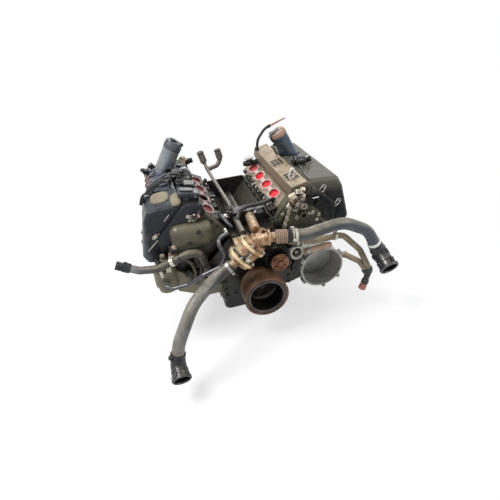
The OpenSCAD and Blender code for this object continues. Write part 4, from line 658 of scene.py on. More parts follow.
def left_hose():
    """The small coolant hose on the left, with its quick connector and clamps."""
    route = Route([(-456, -523, 170), (-412, -528, 148), (-352, -536, 144), (-240, -551, 188),
                   (-200, -552, 182), (-182, -551, 96), (-141, -549, 58), (-141, -520.2, 58)], 30)
    form = Form()
    r = 14.0
    outer = [(0, r), (route.length - 8, r), (route.length, r - 0.6)]
    form.sweep(route, walled(outer, 11), 0, 28, True, 4)
    form.made("left_hose_skin", ["hose_left"], replaces=("left_coolant_hose",))
    trim = Form()
    base, after = Vector((-456, -523, 170)), Vector((-412, -528, 148))
    way = (base - after).normalized()
    profile = [(-18, r + 0.3), (-18, r + 3.2), (-5, r + 3.6), (-3, r + 1), (4, r + 1)]
    for h in (4, 11, 18):
        profile += [(h, r + 0.6), (h + 1, r + 2.2), (h + 4, r + 2.2), (h + 5, r + 0.6)]
    profile += [(26, r + 1.6), (31, r + 1.2), (31, 9), (-2, 9), (-2, r + 0.3)]
    trim.lathe(base, way, profile, 0, 28, True)
    x, y = turned(way)[:2]
    for turn in (0.6, 2.8):
        out = x * math.cos(turn) + y * math.sin(turn)
        trim.block(base + way * 2 + out * (r - 1), (12, 10, 6), out, way, 1.2, 0)
    trim.band(route, 162, 12, r + 0.2, 2.8, 1, 28)
    p = route.at(168)
    trim.block(p + UP * (r + 1), (18, 8, 8), UP, (1, 0, 0.4), 1.5, 1)
    trim.bolt(p + UP * (r + 6) + FRONT * 3, FRONT, 4, 5, 1)
    trim.band(route, 318, 8, r + 0.2, 2.4, 2, 28)
    trim.band(route, 196, 5, r + 0.2, 1.6, 2, 28)
    trim.made("left_hose_fittings", ["connector_black", "bright_bolt", "rubber_black"])


left_hose()


def heater_hoses():
    """The heater hose on the right with its tee, and the tan tube above the alternator."""
    heater = Route([(80, -548, 178), (112, -600, 178), (196, -612, 170), (300, -614, 172), (372, -617, 92),
                    (420, -618, -8), (416, -618, -30)], 45)
    tee = Route([(319, -550, 38), (344, -550, 38), (388, -600, 22), (416, -618, -30)], 24)
    leg = Route([(416, -618, -30), (408, -618, -62), (396, -618, -98)], 30)
    r = 11.0
    form = Form()
    for run, short in ((heater, 8), (tee, 12)):
        ends = [(0, r - 1), (2, r), (run.length - short, r), (run.length - short + 2, r - 2)]
        form.sweep(run, ends, 0, 24, False, 4)
    form.made("heater_hose_skin", ["hose_tan"], replaces=("right_heater_hose",))
    trim = Form()
    for run, back, lip, rise in ((heater, 30, 26, 3.6), (tee, 26, 23, 3.4)):
        cuff = [(-back, r + 2), (-lip, r + rise), (-10, r + rise), (-3, r + 1), (-2, r - 4)]
        trim.sweep(run, from_end(run, cuff), 0, 24, False, 4)
    trim.sweep(leg, [(0, r + 1.5), (8, r + 1.5), (12, r + 0.4), (26, r + 0.4), (30, r + 3.4), (42, r + 3.4),
                     (44, r + 2), (52, r + 2), (55, r + 3.6), (leg.length - 1, r + 3.6),
                     (leg.length, r + 2.6), (leg.length, r - 3), (leg.length - 40, r - 3.5), (2, r - 4)],
               [0] * 6 + [1] * 8, 24, True, 4)
    for s, w in ((78, 8), (96, 3), (214, 10)):
        trim.band(heater, s, w, r + 0.2, 2.6, 2)
    p = heater.at(219)
    trim.block(p + UP * r, (12, 10, 14), UP, (1, 0, 0), 2, 2)
    trim.block(p + UP * r + FRONT * 10, (9, 8, 8), FRONT, (1, 0, 0), 1.5, 2)
    trim.band(tee, 26, 8, r + 0.2, 2.4, 3)
    trim.band(tee, 3, 6, r + 0.2, 3.0, 2)
    trim.made("heater_hose_fittings", ["ribbed_dark", "copper_pink", "bright_bolt", "gold_stain"])
    tube = Form()
    across = [(152, -590, 122), (170, -606, 130), (238, -608, 138), (262, -600, 132)]
    tube.cable(across, 10.5, 0, 20, 22)
    tube.band(Route(across, 20), 26, 6, 10.5, 2, 1)
    tube.made("tan_cross_tube", ["pink_tan", "steel"])


heater_hoses()


def pipes():
    """The steel pipes with their ribbed ends, and the tube from the thermostat to the valley."""
    thin = Route([(-98, -530, 222), (-142, -566, 224), (-118, -586, 172), (-142, -592, 134),
                  (-206, -592, 116), (-262, -566, 72), (-322, -562, 66), (-334, -552, 74),
                  (-334, -532.2, 74)], 22)
    form = Form()
    form.sweep(thin, [(0, 6), (1, 7.6), (thin.length - 1, 7.6), (thin.length, 6)], 0, 18, False, 4)
    form.lathe((-334, -532.4, 74), FRONT, [(0, 9), (2, 9.6), (9, 9.6), (10, 8)], 1, 20)
    form.lathe((-98, -530, 222), REAR, [(-4, 8.4), (0, 9), (26, 9), (26, 3)], 1, 20)
    valley = Route([(-56, -424, 250.2), (-56, -424, 274), (-74, -50, 282), (-80, -19, 306)], 24)
    form.sweep(valley, [(0, 7.4), (valley.length, 7.4)], 2, 18, False, 6)
    form.lathe((-56, -424, 250.2), UP, [(0, 13), (3, 13), (4, 9), (16, 9), (17, 7)], 2, 22)
    branch = Route([(-75, -46, 281), (-20, -14, 282), (-5, -6, 306)], 22)
    form.sweep(branch, [(0, 7), (6, 10), (branch.length, 10)], 2, 20, False, 4)
    for base, tip in (((-80, -19, 306), (-92, -16, 356)), ((-5, -6, 306), (-12, 0, 350))):
        base, tip = Vector(base), Vector(tip)
        h = (tip - base).length
        profile = [(-8, 8), (-2, 9), (2, 14)]
        for k in range(4):
            s = 5 + k * (h - 18) / 4
            profile += [(s, 13.4), (s + 2, 15.6), (s + 5, 15.6), (s + 7, 13.4)]
        profile += [(h - 9, 15.6), (h - 1, 15.4), (h, 14), (h, 8), (h - 14, 7.6)]
        form.lathe(base, tip - base, profile, 3, 24)
    form.made("pipe_runs", ["thin_pipe", "steel", "valley_pipe", "valley_pipe"],
              replaces=("steel_pipes",))
    breather = Route([(162, -40, 331), (170, -32, 372), (206, -30, 416), (303, -30, 448)], 60)
    loop = Form()
    loop.sweep(breather, [(0, 6), (breather.length * 0.62, 6), (breather.length * 0.62 + 1, 4.6),
                          (breather.length - 2, 3.4), (breather.length, 2.4)], [0, 0, 1, 1], 18, False, 4)
    loop.band(breather, breather.length * 0.62 - 8, 9, 6, 1.4, 0)
    loop.lathe((162, -40, 331), UP, [(-2, 10), (4, 10), (6, 8), (12, 8), (13, 6)], 0, 22)
    loop.made("breather_loop", ["rubber_black", "copper_pink"])
    stub = Form()
    barrel = [(0, 12), (20, 12), (22, 13.5), (40, 14.5), (56, 13), (66, 9), (68, 4)]
    stub.lathe((154, -60, 284), (-68, -4, 0), barrel, 0, 26)
    stub.lathe((116, -60, 294), UP, [(0, 6), (10, 5), (10, 19), (12, 20.5), (16, 20.5), (18, 18), (18, 8),
                                     (19.5, 7)], 1, 34)
    stub.made("vent_valve", ["connector_black", "clear_disc"])
    cross = Form()
    a, b = Vector((-47, -598, 236)), Vector((-44, -436, 226))
    cross.sweep(Route([a + (b - a) * 0.18, b], 5), [(0, 11), ((b - a).length * 0.82, 11)], 0, 22, False, 6)
    cross.made("steel_cross_tube", ["valley_pipe"])


pipes()


# ---- Covers and their trim ----
def prism(form, side, outline, rear, front, kind=0, rounding=2.0):
    """A plate across a bank: its outline is in the bank's own frame, its front edge is rounded."""
    middle_x = sum(p[0] for p in outline) / len(outline)
    middle_z = sum(p[1] for p in outline) / len(outline)

    def ring(y, inset):
        out = []
        for x, z in outline:
            away = Vector((x - middle_x, z - middle_z))
            short = max(0.0, 1 - inset / away.length)
            out.append(in_bank(side, middle_x + away[0] * short, y, middle_z + away[1] * short))
        return out
    form.rings([ring(rear, 0), ring(front + rounding, 0), ring(front + rounding * 0.3, rounding * 0.7),
                ring(front, rounding * 2)], kind)


def pad(form, place, size, height, direction=UP, hint=(1, 0, 0), kind=0, square=3.0, sides=44, rings=9,
        full=0.55):
    """A low rounded dome with a squarish outline."""
    x, y, z = turned(direction, hint)
    place = Vector(place)
    stack = []
    for i in range(rings + 1):
        tilt = math.radians(88 * i / rings)
        shrink, level = math.cos(tilt) ** full, math.sin(tilt) * height
        ring = []
        for k in range(sides):
            a = 2 * math.pi * k / sides
            c, s = math.cos(a), math.sin(a)
            r = (abs(c) ** square + abs(s) ** square) ** (-1 / square) * shrink
            ring.append(place + x * (c * r * size[0] / 2) + y * (s * r * size[1] / 2) + z * level)
        stack.append(ring)
    form.rings(stack, kind)


def frame_clip(form, centre, way, across, length, width, kind=0, r=1.3):
    """A sprung wire clip: a rounded rectangle of wire with two bars, lying on a face."""
    x = Vector(across).normalized()
    y = (Vector(way) - x * Vector(way).dot(x)).normalized()
    centre = Vector(centre)
    signs = ((-1, -1), (1, -1), (1, 1), (-1, 1))
    corners = [centre + x * (length / 2 * a) + y * (width / 2 * b) for a, b in signs]
    middle = corners[0] + (corners[1] - corners[0]) * 0.5
    loop = [middle] + corners[1:] + [corners[0], middle]
    form.cable(loop, r, kind, 3.5, 8, 5)
    for t in (-0.22, 0.26):
        form.cable([centre + x * (length * t) - y * (width * 0.46),
                    centre + x * (length * t) + y * (width * 0.46)], r * 0.9, kind, 1, 8, 8)


def front_plates():
    """The front faces of the covers and the olive plate of the right timing case."""
    form = Form()
    prism(form, 1, [(-25, 341), (-45, 372), (-62, 398), (70, 398), (111, 350), (111, 325), (64, 325),
                    (56, 341)], COVER_FRONT, -490, 0)
    prism(form, -1, [(-94, 320), (-116, 344), (-86, 392), (-66, 398), (70, 398), (111, 350), (111, 325)],
          COVER_FRONT, -491, 1)
    form.made("cover_front_plates", ["satin_black", "satin_black_left"])
    olive = Form()
    prism(olive, 1, [(-97, 319), (-109, 339), (-28, 339), (54, 339), (61, 321)], COVER_FRONT, -489, 0)
    ring = Vector((203, -489, 250))
    olive.lathe(ring, FRONT, [(-1, 16), (3, 16), (4, 14.5), (9, 13.5), (10, 12), (10, 8), (2, 7), (-1, 7)],
                1, 30, True)
    olive.lathe(ring + FRONT * 0.5, FRONT, [(0, 6.8), (4, 6.2), (4.6, 4)], 2, 20)
    for x, z, r in ((158, 240, 7), (178, 205, 8), (238, 214, 6), (262, 201, 5)):
        place = seat("timing_case_upper_right", (x, -700, z), REAR)[0]
        if place is None:
            place = Vector((x, -489, z))
        olive.lathe(place, FRONT, [(-1, r + 2), (3, r + 2), (4, r), (7, r), (7, r * 0.5), (3, r * 0.4)], 1,
                    22)
    olive.made("front_plate_right", ["olive_plate", "bright_bolt", "cream"])


front_plates()


def right_cover_trim():
    """Clips, seams, studs, bars and the round plug of the right cover."""
    form = Form()
    for centre, length, width in (((280, -480, 294), 34, 17), ((343, -480, 229), 30, 15)):
        frame_clip(form, centre, (-0.7, 0, 0.7), (0.62, 0, 0.78), length, width, 0, 1.1)
    form.cable([(176, -500, 272), (190, -508, 279), (222, -510, 281), (246, -508, 281), (258, -500, 277)], 2,
               0, 12, 8)
    loop = [(176, -428, 329), (172, -430, 350), (178, -432, 372), (186, -433, 376), (192, -432, 366),
            (190, -430, 344), (181, -428, 330)]
    form.cable(loop, 2.8, 0, 9, 8, 4)
    form.cable([(x + 2, y + 4, z) for x, y, z in loop], 2.6, 0, 9, 8, 4)
    form.made("right_cover_clips", ["white_strap"])
    seams = Form()
    for a, b in (((-40, 402), (140, 402)), ((96, 400), (128, 352))):
        start, end = in_bank(1, a[0], -479, a[1]), in_bank(1, b[0], -479, b[1])
        seams.cable([start, end], 1.4, 0, 1, 8, 30)
    for y in (-430, -330, -150, -60):
        start = in_bank(1, 300, y, 420)
        place, normal = seat("outer_cover_right", start, in_bank(1, -1, 0, 0))
        if place is not None:
            seams.lathe(place, normal, COVER_STUD, 1, 22)
    seams.made("right_cover_seams", ["satin_black", "steel"])
    grid = Form()
    for y in range(-262, -196, 11):
        a, b = in_bank(1, -60, y, 404), in_bank(1, -20, y, 436)
        grid.block((a + b) / 2 + Vector((-2, 0, 1)), (46, 5, 7), (-0.45, 0, 0.9), (1, 0, 0.5), 1.2, 0)
    grid.made("right_grille_bars", ["connector_black"])
    round_plug = Form()
    base = Vector((234, -318, 354))
    round_plug.lathe(base, (1, 0.1, 0), [(0, 17), (2, 18.5), (14, 18.5), (16, 16), (38, 16), (41, 14),
                                         (46, 13), (48, 10)], 0, 30)
    round_plug.lathe(base, (-1, -0.1, 0), [(-6, 11), (0, 11), (8, 10.5), (9, 9), (9, 5.5), (1, 5), (-6, 5)],
                     0, 24, True)
    round_plug.block((262, -316, 336), (34, 26, 24), UP, (1, 0.1, 0), 3, 0)
    round_plug.block((282, -312, 350), (18, 22, 22), (1, 0, 0.3), (0, 1, 0), 2.5, 0)
    round_plug.cable([(244, -334, 346), (240, -372, 349), (231, -430, 346), (228, -466, 342),
                      (224, -492, 318), (214, -498, 292)], 4, 1, 16, 10)
    round_plug.cable([(280, -300, 358), (300, -290, 352), (318, -296, 340)], 2.4, 2, 12, 8)
    round_plug.made("right_round_connector", ["connector_black", "rubber_black", "loom_grey"])


right_cover_trim()


def slot_inserts():
    """The two grilles in the tan strip: a near-black backing, painted shade for the depth of the slots,
    crossed by pale bars.
    """
    form = Form()
    low, high = Vector((-118, 344)), Vector((-85, 395))
    along = (high - low).normalized()
    across = in_bank(1, along[0], 0, along[1])
    outward = in_bank(1, -along[1], 0, along[0])
    for y in (-240, -400):
        middle = low + along * 29.5
        centre = in_bank(1, middle[0], y, middle[1])
        # Painted shade: a near-black sheet behind the bars for the dark depth of the slots.
        form.block(centre + outward * 0.2, (46, 60, 0.9), outward, across, 0.8, 0)
        for k in range(4):
            form.block(centre + outward * 0.4 + across * (-22.5 + 15 * k), (3, 64, 1.8), outward, across,
                       0.7, 1)
        for k in range(4):
            form.block(centre + outward * 0.4 + REAR * (-30 + 20 * k), (48, 4.2, 1.6), outward, across, 0.7,
                       1)
    form.made("slot_grilles", ["deep_dark", "cover_tan"])


slot_inserts()


def connectors_right():
    """The plugs in front of the right bank and the pale strip below them."""
    rng = random.Random(41)
    form = Form()
    spots = [((158, -494, 300), (26, 18, 22), 0), ((176, -498, 312), (24, 16, 20), 1),
             ((172, -500, 286), (18, 16, 18), 2), ((190, -498, 296), (20, 16, 16), 0),
             ((166, -504, 272), (16, 14, 16), 1), ((186, -500, 276), (14, 14, 12), 3),
             ((150, -492, 282), (16, 12, 26), 2), ((202, -496, 286), (12, 12, 14), 1),
             ((196, -494, 314), (16, 14, 12), 0)]
    for place, size, kind in spots:
        tilt = (rng.uniform(-0.5, 0.5), -0.9, rng.uniform(-0.1, 0.7))
        hint = (1, rng.uniform(-0.3, 0.3), rng.uniform(-0.6, 0.6))
        form.block(place, size, tilt, hint, 2.2, kind)
        tip = Vector(place) + Vector(tilt).normalized() * (size[2] - 1)
        w = size[1]
        form.lathe(tip, tilt, [(-1, w * 0.34), (4, w * 0.34), (5, w * 0.26)], (kind + 1) % 4, 14)
    form.cable([(160, -502, 306), (178, -514, 322), (196, -512, 306), (190, -506, 284)], 3.2, 1, 9, 9)
    form.cable([(168, -508, 280), (184, -518, 292), (206, -508, 282), (214, -497, 262)], 2.6, 0, 9, 9)
    form.cable([(150, -494, 300), (146, -508, 276), (158, -512, 256), (176, -500, 246)], 3, 3, 9, 9)
    form.made("right_connectors", ["cream", "bright_bolt", "pink_tan", "connector_black"])
    strip = Form()
    a, b = Vector((146, -494, 258)), Vector((118, -494, 178))
    way = (b - a).normalized()
    strip.block((a + b) / 2 + Vector((4, 0, 0)), (84, 12, 5), FRONT, way, 3, 0)
    for t in (0.06, 0.32, 0.6, 0.86):
        place = a + (b - a) * t + Vector((4, -5, 0))
        strip.bolt(place, FRONT, 5.5, 6, 1)
    strip.block(a + Vector((20, 2, -12)), (16, 22, 12), FRONT, way, 3, 1)
    strip.block(a + Vector((2, 2, 8)), (22, 18, 14), FRONT, (0.6, 0, 0.8), 3, 0)
    strip.made("right_flange_strip", ["cream", "bright_bolt"])


connectors_right()


def left_cover_trim():
    """Domes, seams, studs and the sensor of the left cover."""
    form = Form()
    top = Vector((-0.08, 0, 1))
    for place, size, height in (((-295, -384, 331), (70, 88), 15), ((-244, -436, 337), (38, 84), 12)):
        pad(form, place, size, height, top, (1, 0, 0.08), 0)
    pad(form, (-293, -453, 331.5), (58, 40), 4, (-0.08, -0.15, 1), (1, 0, 0.08), 1, 5)
    pad(form, (-238, -388, 336), (30, 22), 7, top, (1, 0, 0.08), 0)
    form.made("left_cover_domes", ["dusty_dome", "navy_recess"])
    seam = Form()
    for (x0, z0), (x1, z1) in (((-373, 186), (-328, 226)), ((-304, 257), (-283, 275)),
                               ((-296, 290), (-275, 311))):
        seam.cable([(x0, -480, z0), ((x0 + x1) / 2, -482, (z0 + z1) / 2), (x1, -480, z1)], 2.1, 1, 4, 8, 12)
    frame_clip(seam, (-337, -481, 238), (-0.5, 0, 0.8), (0.8, 0, 0.5), 20, 11, 1, 1.5)
    seam.block((-337, -479, 238), (12, 7, 4), FRONT, (0.8, 0, 0.5), 1.2, 1)
    seam.block((-322, -480, 247), (8, 5, 4), FRONT, (0.8, 0, 0.5), 1.2, 2)
    seam.made("left_cover_seams", ["loom_grey", "bright_bolt", "copper_pink"])
    rim = Form()
    for y in (-440, -370):
        place, normal = seat("outer_cover_left", in_bank(-1, 300, y, 420), in_bank(-1, -1, 0, 0))
        if place is not None:
            rim.lathe(place, normal, COVER_STUD, 0, 22)
    rim.made("left_cover_studs", ["steel"])
    sensor = Form()
    base = Vector((-198, -491, 290))
    sensor.lathe(base, (0.1, -1, 0.35), [(-2, 14), (2, 14), (3, 8), (9, 7.5), (10, 10), (14, 10), (16, 6)],
                 [1, 1, 2, 0, 0, 2, 2], 24)
    sensor.block(base + Vector((14, -4, 4)), (15, 10, 10), (0.5, -0.8, 0.3), (0, 0, 1), 2, 0)
    sensor.block(base + Vector((-12, -2, -8)), (12, 9, 9), (-0.4, -0.8, -0.2), (0, 0, 1), 2, 1)
    sensor.lathe(base + Vector((3, -12, 13)), (0.3, -0.7, 0.6), [(-4, 4), (5, 4), (6, 2.6)], 1, 14)
    sensor.bolt(base + Vector((-17, -1, 6)), (0, -1, 0.2), 4.5, 6, 1)
    sensor.cable([base + Vector((2, -20, 8)), base + Vector((10, -28, 20)), base + Vector((26, -18, 26))],
                 2.4, 2, 8)
    sensor.made("left_cam_sensor", ["copper_pink", "bright_bolt", "rubber_black"])


left_cover_trim()


def bolt_ring(form, centre, x, y, direction, angles, reach, radius, height, kind):
    """Bolts in a circle round a centre, in the plane of x and y."""
    for a in angles:
        form.bolt(centre + (x * math.cos(a) + y * math.sin(a)) * reach, direction, radius, height, kind)


def motors():
    """Caps, plugs and rings of the two valve-lift motors."""
    left_base, left_way = in_bank(-1, -43, -120, 423), in_bank(-1, -0.974, 0, 0.225)
    right_base, right_way = in_bank(1, -26, -170, 417), in_bank(1, -0.948, 0, 0.319)
    form = Form()
    tip = left_base + left_way * MOTOR_LENGTH
    form.lathe(tip, left_way, [(-22, 34.05), (-21, 35.4), (-6, 35.6), (-2, 34.6), (10.2, 32.6), (11.6, 30),
                               (11.6, 8), (12.4, 7), (12.4, 1)], 0, 44)
    x, y = turned(left_way, FRONT)[:2]
    form.block(tip + left_way * 11 - y * 8 + x * 6, (26, 20, 9), left_way, x, 2.5, 1)
    form.block(tip + left_way * 6 + y * 28 + x * 8, (18, 14, 10), left_way, x, 2.5, 1)
    bolt_ring(form, tip + left_way * 11, x, y, left_way, (0.6, 2.2, 3.9, 5.4), 25, 3.2, 3.5, 2)
    form.lathe(left_base + left_way * 13, left_way, [(0, 34.1), (0, 36.8), (5, 36.8), (6, 34.1)], 2, 44, True)
    form.made("motor_cap_left", ["motor_dark_cap", "connector_black", "steel"])
    cap = Form()
    tip = right_base + right_way * MOTOR_LENGTH
    cap.lathe(tip, right_way, [(-9, 34.05), (-8, 35.2), (2, 35.2), (4, 33.4), (10.2, 32.4), (11.8, 29),
                               (11.8, 14), (14, 12), (14, 2)], 0, 44)
    x, y = turned(right_way, FRONT)[:2]
    if y.x > 0:
        y = -y
    cap.block(tip - right_way * 16 + y * 30 + x * 4, (26, 15, 26), right_way, x, 2.5, 1)
    cap.block(tip + right_way * 2 + y * 22, (30, 16, 16), right_way, x, 2.5, 1)
    bolt_ring(cap, tip + right_way * 10.5, x, y, right_way, (0.5, 2.1, 3.6, 5.2), 24, 3.4, 4.5, 0)
    cap.lathe(right_base + right_way * 92, right_way, [(0, 34.05), (0, 35.2), (4, 35.2), (4, 34.05)], 2, 44,
              True)
    cap.block(right_base + right_way * 36 + x * 33, (14, 5, 60), right_way, y, 1.5, 2)
    cap.cable([right_base + right_way * 100 + y * 36, right_base + right_way * 70 + y * 46,
               right_base + right_way * 34 + y * 44, right_base + right_way * 8 + y * 40], 3, 1, 14)
    cap.made("motor_cap_right", ["pink_tan", "connector_black", "motor_dark_cap"])


motors()


def left_loom():
    """The ribbed looms that cross the left bank side by side, with their plugs and holders."""
    form = Form()
    rng = random.Random(17)
    for i in range(11):
        shift = Vector((i * 8 - 44, i * 9 - 62, rng.uniform(-3, 6)))
        base = [(-346, -336, 312), (-330, -318, 338), (-302, -282, 344), (-270, -246, 350), (-238, -220, 352),
                (-212, -206, 346)]
        points = [Vector(p) + shift * (0.5 + 0.6 * k / 5) + Vector((0, 0, rng.uniform(-2.5, 2.5)))
                  for k, p in enumerate(base)]
        form.cable(points, rng.uniform(2.6, 4.4), 0 if i % 3 else 1, 18, 10)
    corrugated = Route([(-334, -300, 346), (-300, -262, 352), (-262, -226, 356), (-226, -208, 352)], 24)
    profile, s = [(0, 4)], 2.0
    while s < corrugated.length - 6:
        profile += [(s, 4.6), (s + 1, 6), (s + 2.4, 6), (s + 3.4, 4.6)]
        s += 4.6
    form.sweep(corrugated, profile + [(corrugated.length, 4)], 0, 14, False, 5)
    form.made("left_loom", ["loom_grey", "rubber_black"])
    plug = Form()
    plug.block((-320, -138, 344), (24, 18, 26), (-0.8, -0.2, 0.55), (0, 1, 0), 2.5, 0)
    plug.lathe((-338, -142, 358), (-0.8, -0.2, 0.55), [(0, 7), (6, 7.6), (12, 7), (12, 4)], 0, 18)
    plug.block((-300, -112, 352), (20, 20, 22), (-0.5, 0, 0.86), (0, 1, 0), 3, 1)
    plug.block((-336, -338, 326), (22, 22, 20), (-0.8, -0.5, 0.2), (0, 1, 0), 2.5, 2)
    plug.lathe((-347, -346, 330), (-0.8, -0.5, 0.2), [(0, 8), (8, 8.4), (12, 7)], 0, 18)
    plug.block((-244, -176, 348), (30, 16, 22), (0.2, -0.3, 0.9), (1, 0, 0), 3, 0)
    plug.block((-226, -196, 344), (26, 14, 20), (0.4, -0.4, 0.8), (1, 0.4, 0), 2.5, 2)
    plug.block((-196, -150, 340), (30, 24, 22), (0.2, 0, 1), (1, 0, 0), 3, 0)
    plug.block((-178, -92, 338), (34, 26, 26), (0.15, 0, 1), (1, 0.2, 0), 4, 3)
    plug.lathe((-176, -94, 362), (0.15, 0, 1), [(0, 12), (4, 13), (9, 13), (11, 11)], 3, 24)
    plug.block((-170, -90, 346), (26, 20, 22), (0.9, -0.1, 0.2), (0, 1, 0), 3, 0)
    plug.lathe((-149, -92, 350), (0.95, -0.1, 0.15), [(0, 9), (4, 10.5), (13, 10.5), (14, 7)], 0, 22)
    plug.made("left_connectors", ["connector_black", "ribbed_dark", "loom_grey", "cream"])
    eye = Form()
    centre = Vector((-186, -222, 334))
    arc = [centre + Vector((math.cos(a) * 23, math.cos(a) * -7, math.sin(a) * 36)) for a in
           [math.radians(t) for t in range(-20, 201, 20)]]
    for offset in (-4, 0, 4):
        eye.cable([p + Vector((0, offset, 0)) for p in arc], 5.6, 0, 12, 12, 4)
    eye.block(centre + Vector((20, 2, -12)), (20, 22, 8), UP, (1, 0, 0), 2, 0)
    eye.bolt(centre + Vector((22, 2, -4)), UP, 6, 6, 1)
    for k in range(5):
        a = math.radians(15 + k * 34)
        eye.bolt(centre + Vector((math.cos(a) * 21, -9, math.sin(a) * 32)), FRONT, 2.4, 3, 1)
    eye.made("left_half_ring", ["ring_alloy", "bright_bolt"])


left_loom()


# ---- Ports, valley and front end ----
def port_rims():
    """The torn pale gasket that stands up round each intake port."""
    rng = random.Random(5)
    form = Form()
    for side in (1, -1):
        x = in_bank(side, math.cos(PORT_TILT), 0, math.sin(PORT_TILT))
        z = in_bank(side, -math.sin(PORT_TILT), 0, math.cos(PORT_TILT))
        for y in CYLINDER_Y[side]:
            centre = in_bank(side, -86, y, 275) + z * 3.2
            loop = []
            for k in range(37):
                a = 2 * math.pi * (k % 36) / 36
                out = 20.4 + (rng.uniform(-0.9, 0.9) if 0 < k < 36 else 0)
                straight = 12 * max(-1, min(1, 3 * math.sin(a)))
                loop.append(centre + x * (out * math.cos(a)) + REAR * (out * math.sin(a) + straight))
            form.cable(loop, 2.4, 0, 1.2, 8, 5)
            for k in range(7):
                p = loop[rng.randrange(36)]
                form.block(p + z * 0.4, (rng.uniform(4, 9), rng.uniform(3, 6), rng.uniform(1.6, 3.4)), z,
                           REAR + x * rng.uniform(-1, 1), 0.8, 0)
    form.made("intake_rims", ["gasket_white"])


port_rims()


def valley_clutter():
    """The looms, plugs and clips that lie beside the tray, and the hose across its front."""
    rng = random.Random(29)
    form = Form()
    for side in (1, -1):
        for strand in range(4):
            points = [(side * (97 + strand * 3.4 + rng.uniform(-2.5, 2.5)), y,
                       219 + strand * 5.5 + rng.uniform(-4, 4)) for y in range(-424, -30, 36)]
            form.cable(points, rng.uniform(3.0, 5.2), rng.choice((0, 0, 1)), 14, 10, 8)
        for k in range(10):
            y = -52 - k * 40 + rng.uniform(-8, 8)
            tilt = Vector((-side * rng.uniform(0.2, 0.9), rng.uniform(-0.4, 0.4), 0.8))
            place = Vector((side * rng.uniform(99, 110), y, rng.uniform(222, 232)))
            form.block(place, (rng.uniform(14, 20), rng.uniform(10, 15), rng.uniform(15, 24)), tilt,
                       (rng.uniform(-0.4, 0.4), 1, 0), 2.2, rng.choice((0, 2, 2)))
            form.lathe(place + tilt.normalized() * 18, tilt, [(0, 5), (4, 5.4), (7, 5), (7, 3)],
                       rng.choice((0, 2, 3)), 14)
            form.bolt(place + Vector((-side * 8, 14, 4)), tilt, 3.4, 5, 3)
            form.bolt(place + Vector((-side * 4, -16, 8)), (rng.uniform(-0.5, 0.5), -0.4, 1),
                      rng.uniform(2.6, 4), 6, 3)
    form.cable([(-44, -470, 236), (-30, -450, 256), (2, -442, 266), (62, -436, 264), (96, -428, 266),
                (116, -418, 262)], 7.5, 0, 30, 16, 6)
    form.cable([(104, -470, 204), (92, -462, 234), (96, -440, 252), (112, -420, 256)], 5, 0, 22, 14, 6)
    form.cable([(118, -492, 176), (96, -500, 214), (70, -478, 240), (66, -446, 256)], 3.4, 0, 18, 10, 6)
    form.cable([(-66, -480, 214), (-84, -470, 236), (-92, -440, 248), (-96, -424, 240)], 6, 1, 18, 14, 6)
    form.block((92, -448, 236), (34, 26, 14), (0.1, -0.3, 1), (1, 0.3, 0), 3, 0)
    form.block((-84, -446, 234), (30, 30, 16), (-0.1, -0.3, 1), (1, 0.3, 0), 3, 2)
    form.block((40, -470, 246), (28, 18, 10), (0, -0.5, 1), (1, 0, 0), 3, 2)
    form.bolt((28, -468, 250), UP, 6, 6, 3)
    form.bolt((-82, -450, 248), UP, 6, 6, 3)
    form.made("valley_looms", ["rubber_black", "loom_grey", "connector_black", "bright_bolt"])
    rim = Form()
    top = 214
    corners = [(-90.5, -392), (90.5, -392), (90.5, -18), (-90.5, -18)]
    loop = [(0, -392, top)] + [(x, y, top) for x, y in corners[1:] + corners[:1]] + [(0, -392, top)]
    # The rim carries tray_dark's painted highlight along its top.
    rim.cable(loop, 3.2, 0, 10, 12, 8)
    for y in range(-340, -40, 64):
        for x in (-86, 86):
            rim.block((x, y, 207), (5, 22, 8), UP, (1, 0, 0), 1.5, 0)
    rim.cable([(0, -366, 160), (0, -40, 160)], 4, 1, 2, 10, 20)
    rim.made("tray_rim", ["tray_dark", "greasy_block"])


valley_clutter()


def crank_front():
    """The rim, lining, ribs and bolts of the crank pulley, which turn with the crankshaft; the near-black
    lining in its hollow is painted shade.
    """
    form = Form()
    centre = Vector((0, 0, 0))
    form.lathe(centre, FRONT, [(646.6, 62.6), (648.0, 62.9), (648.6, 64.4), (648.2, 66), (647.2, 66.6),
                               (646.6, 66.4)], 0, 72, True)
    form.lathe(centre, FRONT, [(646.4, 67), (647.6, 67.4), (647.6, 72), (646.4, 72.6)], 1, 72, True)
    # Painted shade: a near-black lining inside the pulley's hollow.
    form.lathe(centre, FRONT, [(645.4, 62.2), (644.2, 61.4), (581, 60.4), (573.2, 52), (572.6, 20),
                               (573.6, 20), (574.2, 51), (581.6, 59.4), (644.6, 60.6)], 2, 72, True)
    for level in (600, 618, 634):
        form.lathe(centre, FRONT, [(level, 61.2), (level, 59.4), (level + 2.4, 59.4), (level + 2.4, 61.2)],
                   2, 72, True)
    turns = [math.radians(a + 12) for a in range(0, 360, 60)]
    bolt_ring(form, Vector((0, -573.6, 0)), Vector((1, 0, 0)), UP, FRONT, turns, 36, 6, 7, 1)
    for k in range(7):
        level = 598 + 6.4 * k
        form.lathe(centre, FRONT, [(level, 78.6), (level, 80.2), (level + 1.4, 81.1), (level + 2.6, 81.1),
                                   (level + 4, 80.2), (level + 4, 78.6)], 3, 96, True)
    form.lathe(centre, FRONT, [(643.4, 78.6), (643.4, 81), (645, 82), (647.2, 82), (648, 80.6), (647.4, 73),
                               (646.4, 73)], 3, 96, True)
    form.lathe(centre, FRONT, [(573, 26), (579, 26), (581, 23), (581, 18), (573, 18)], 1, 48, True)
    form.made("pulley_face", ["pulley_edge", "dark_steel", "bore_dark", "pulley_rust"], "crank")


crank_front()


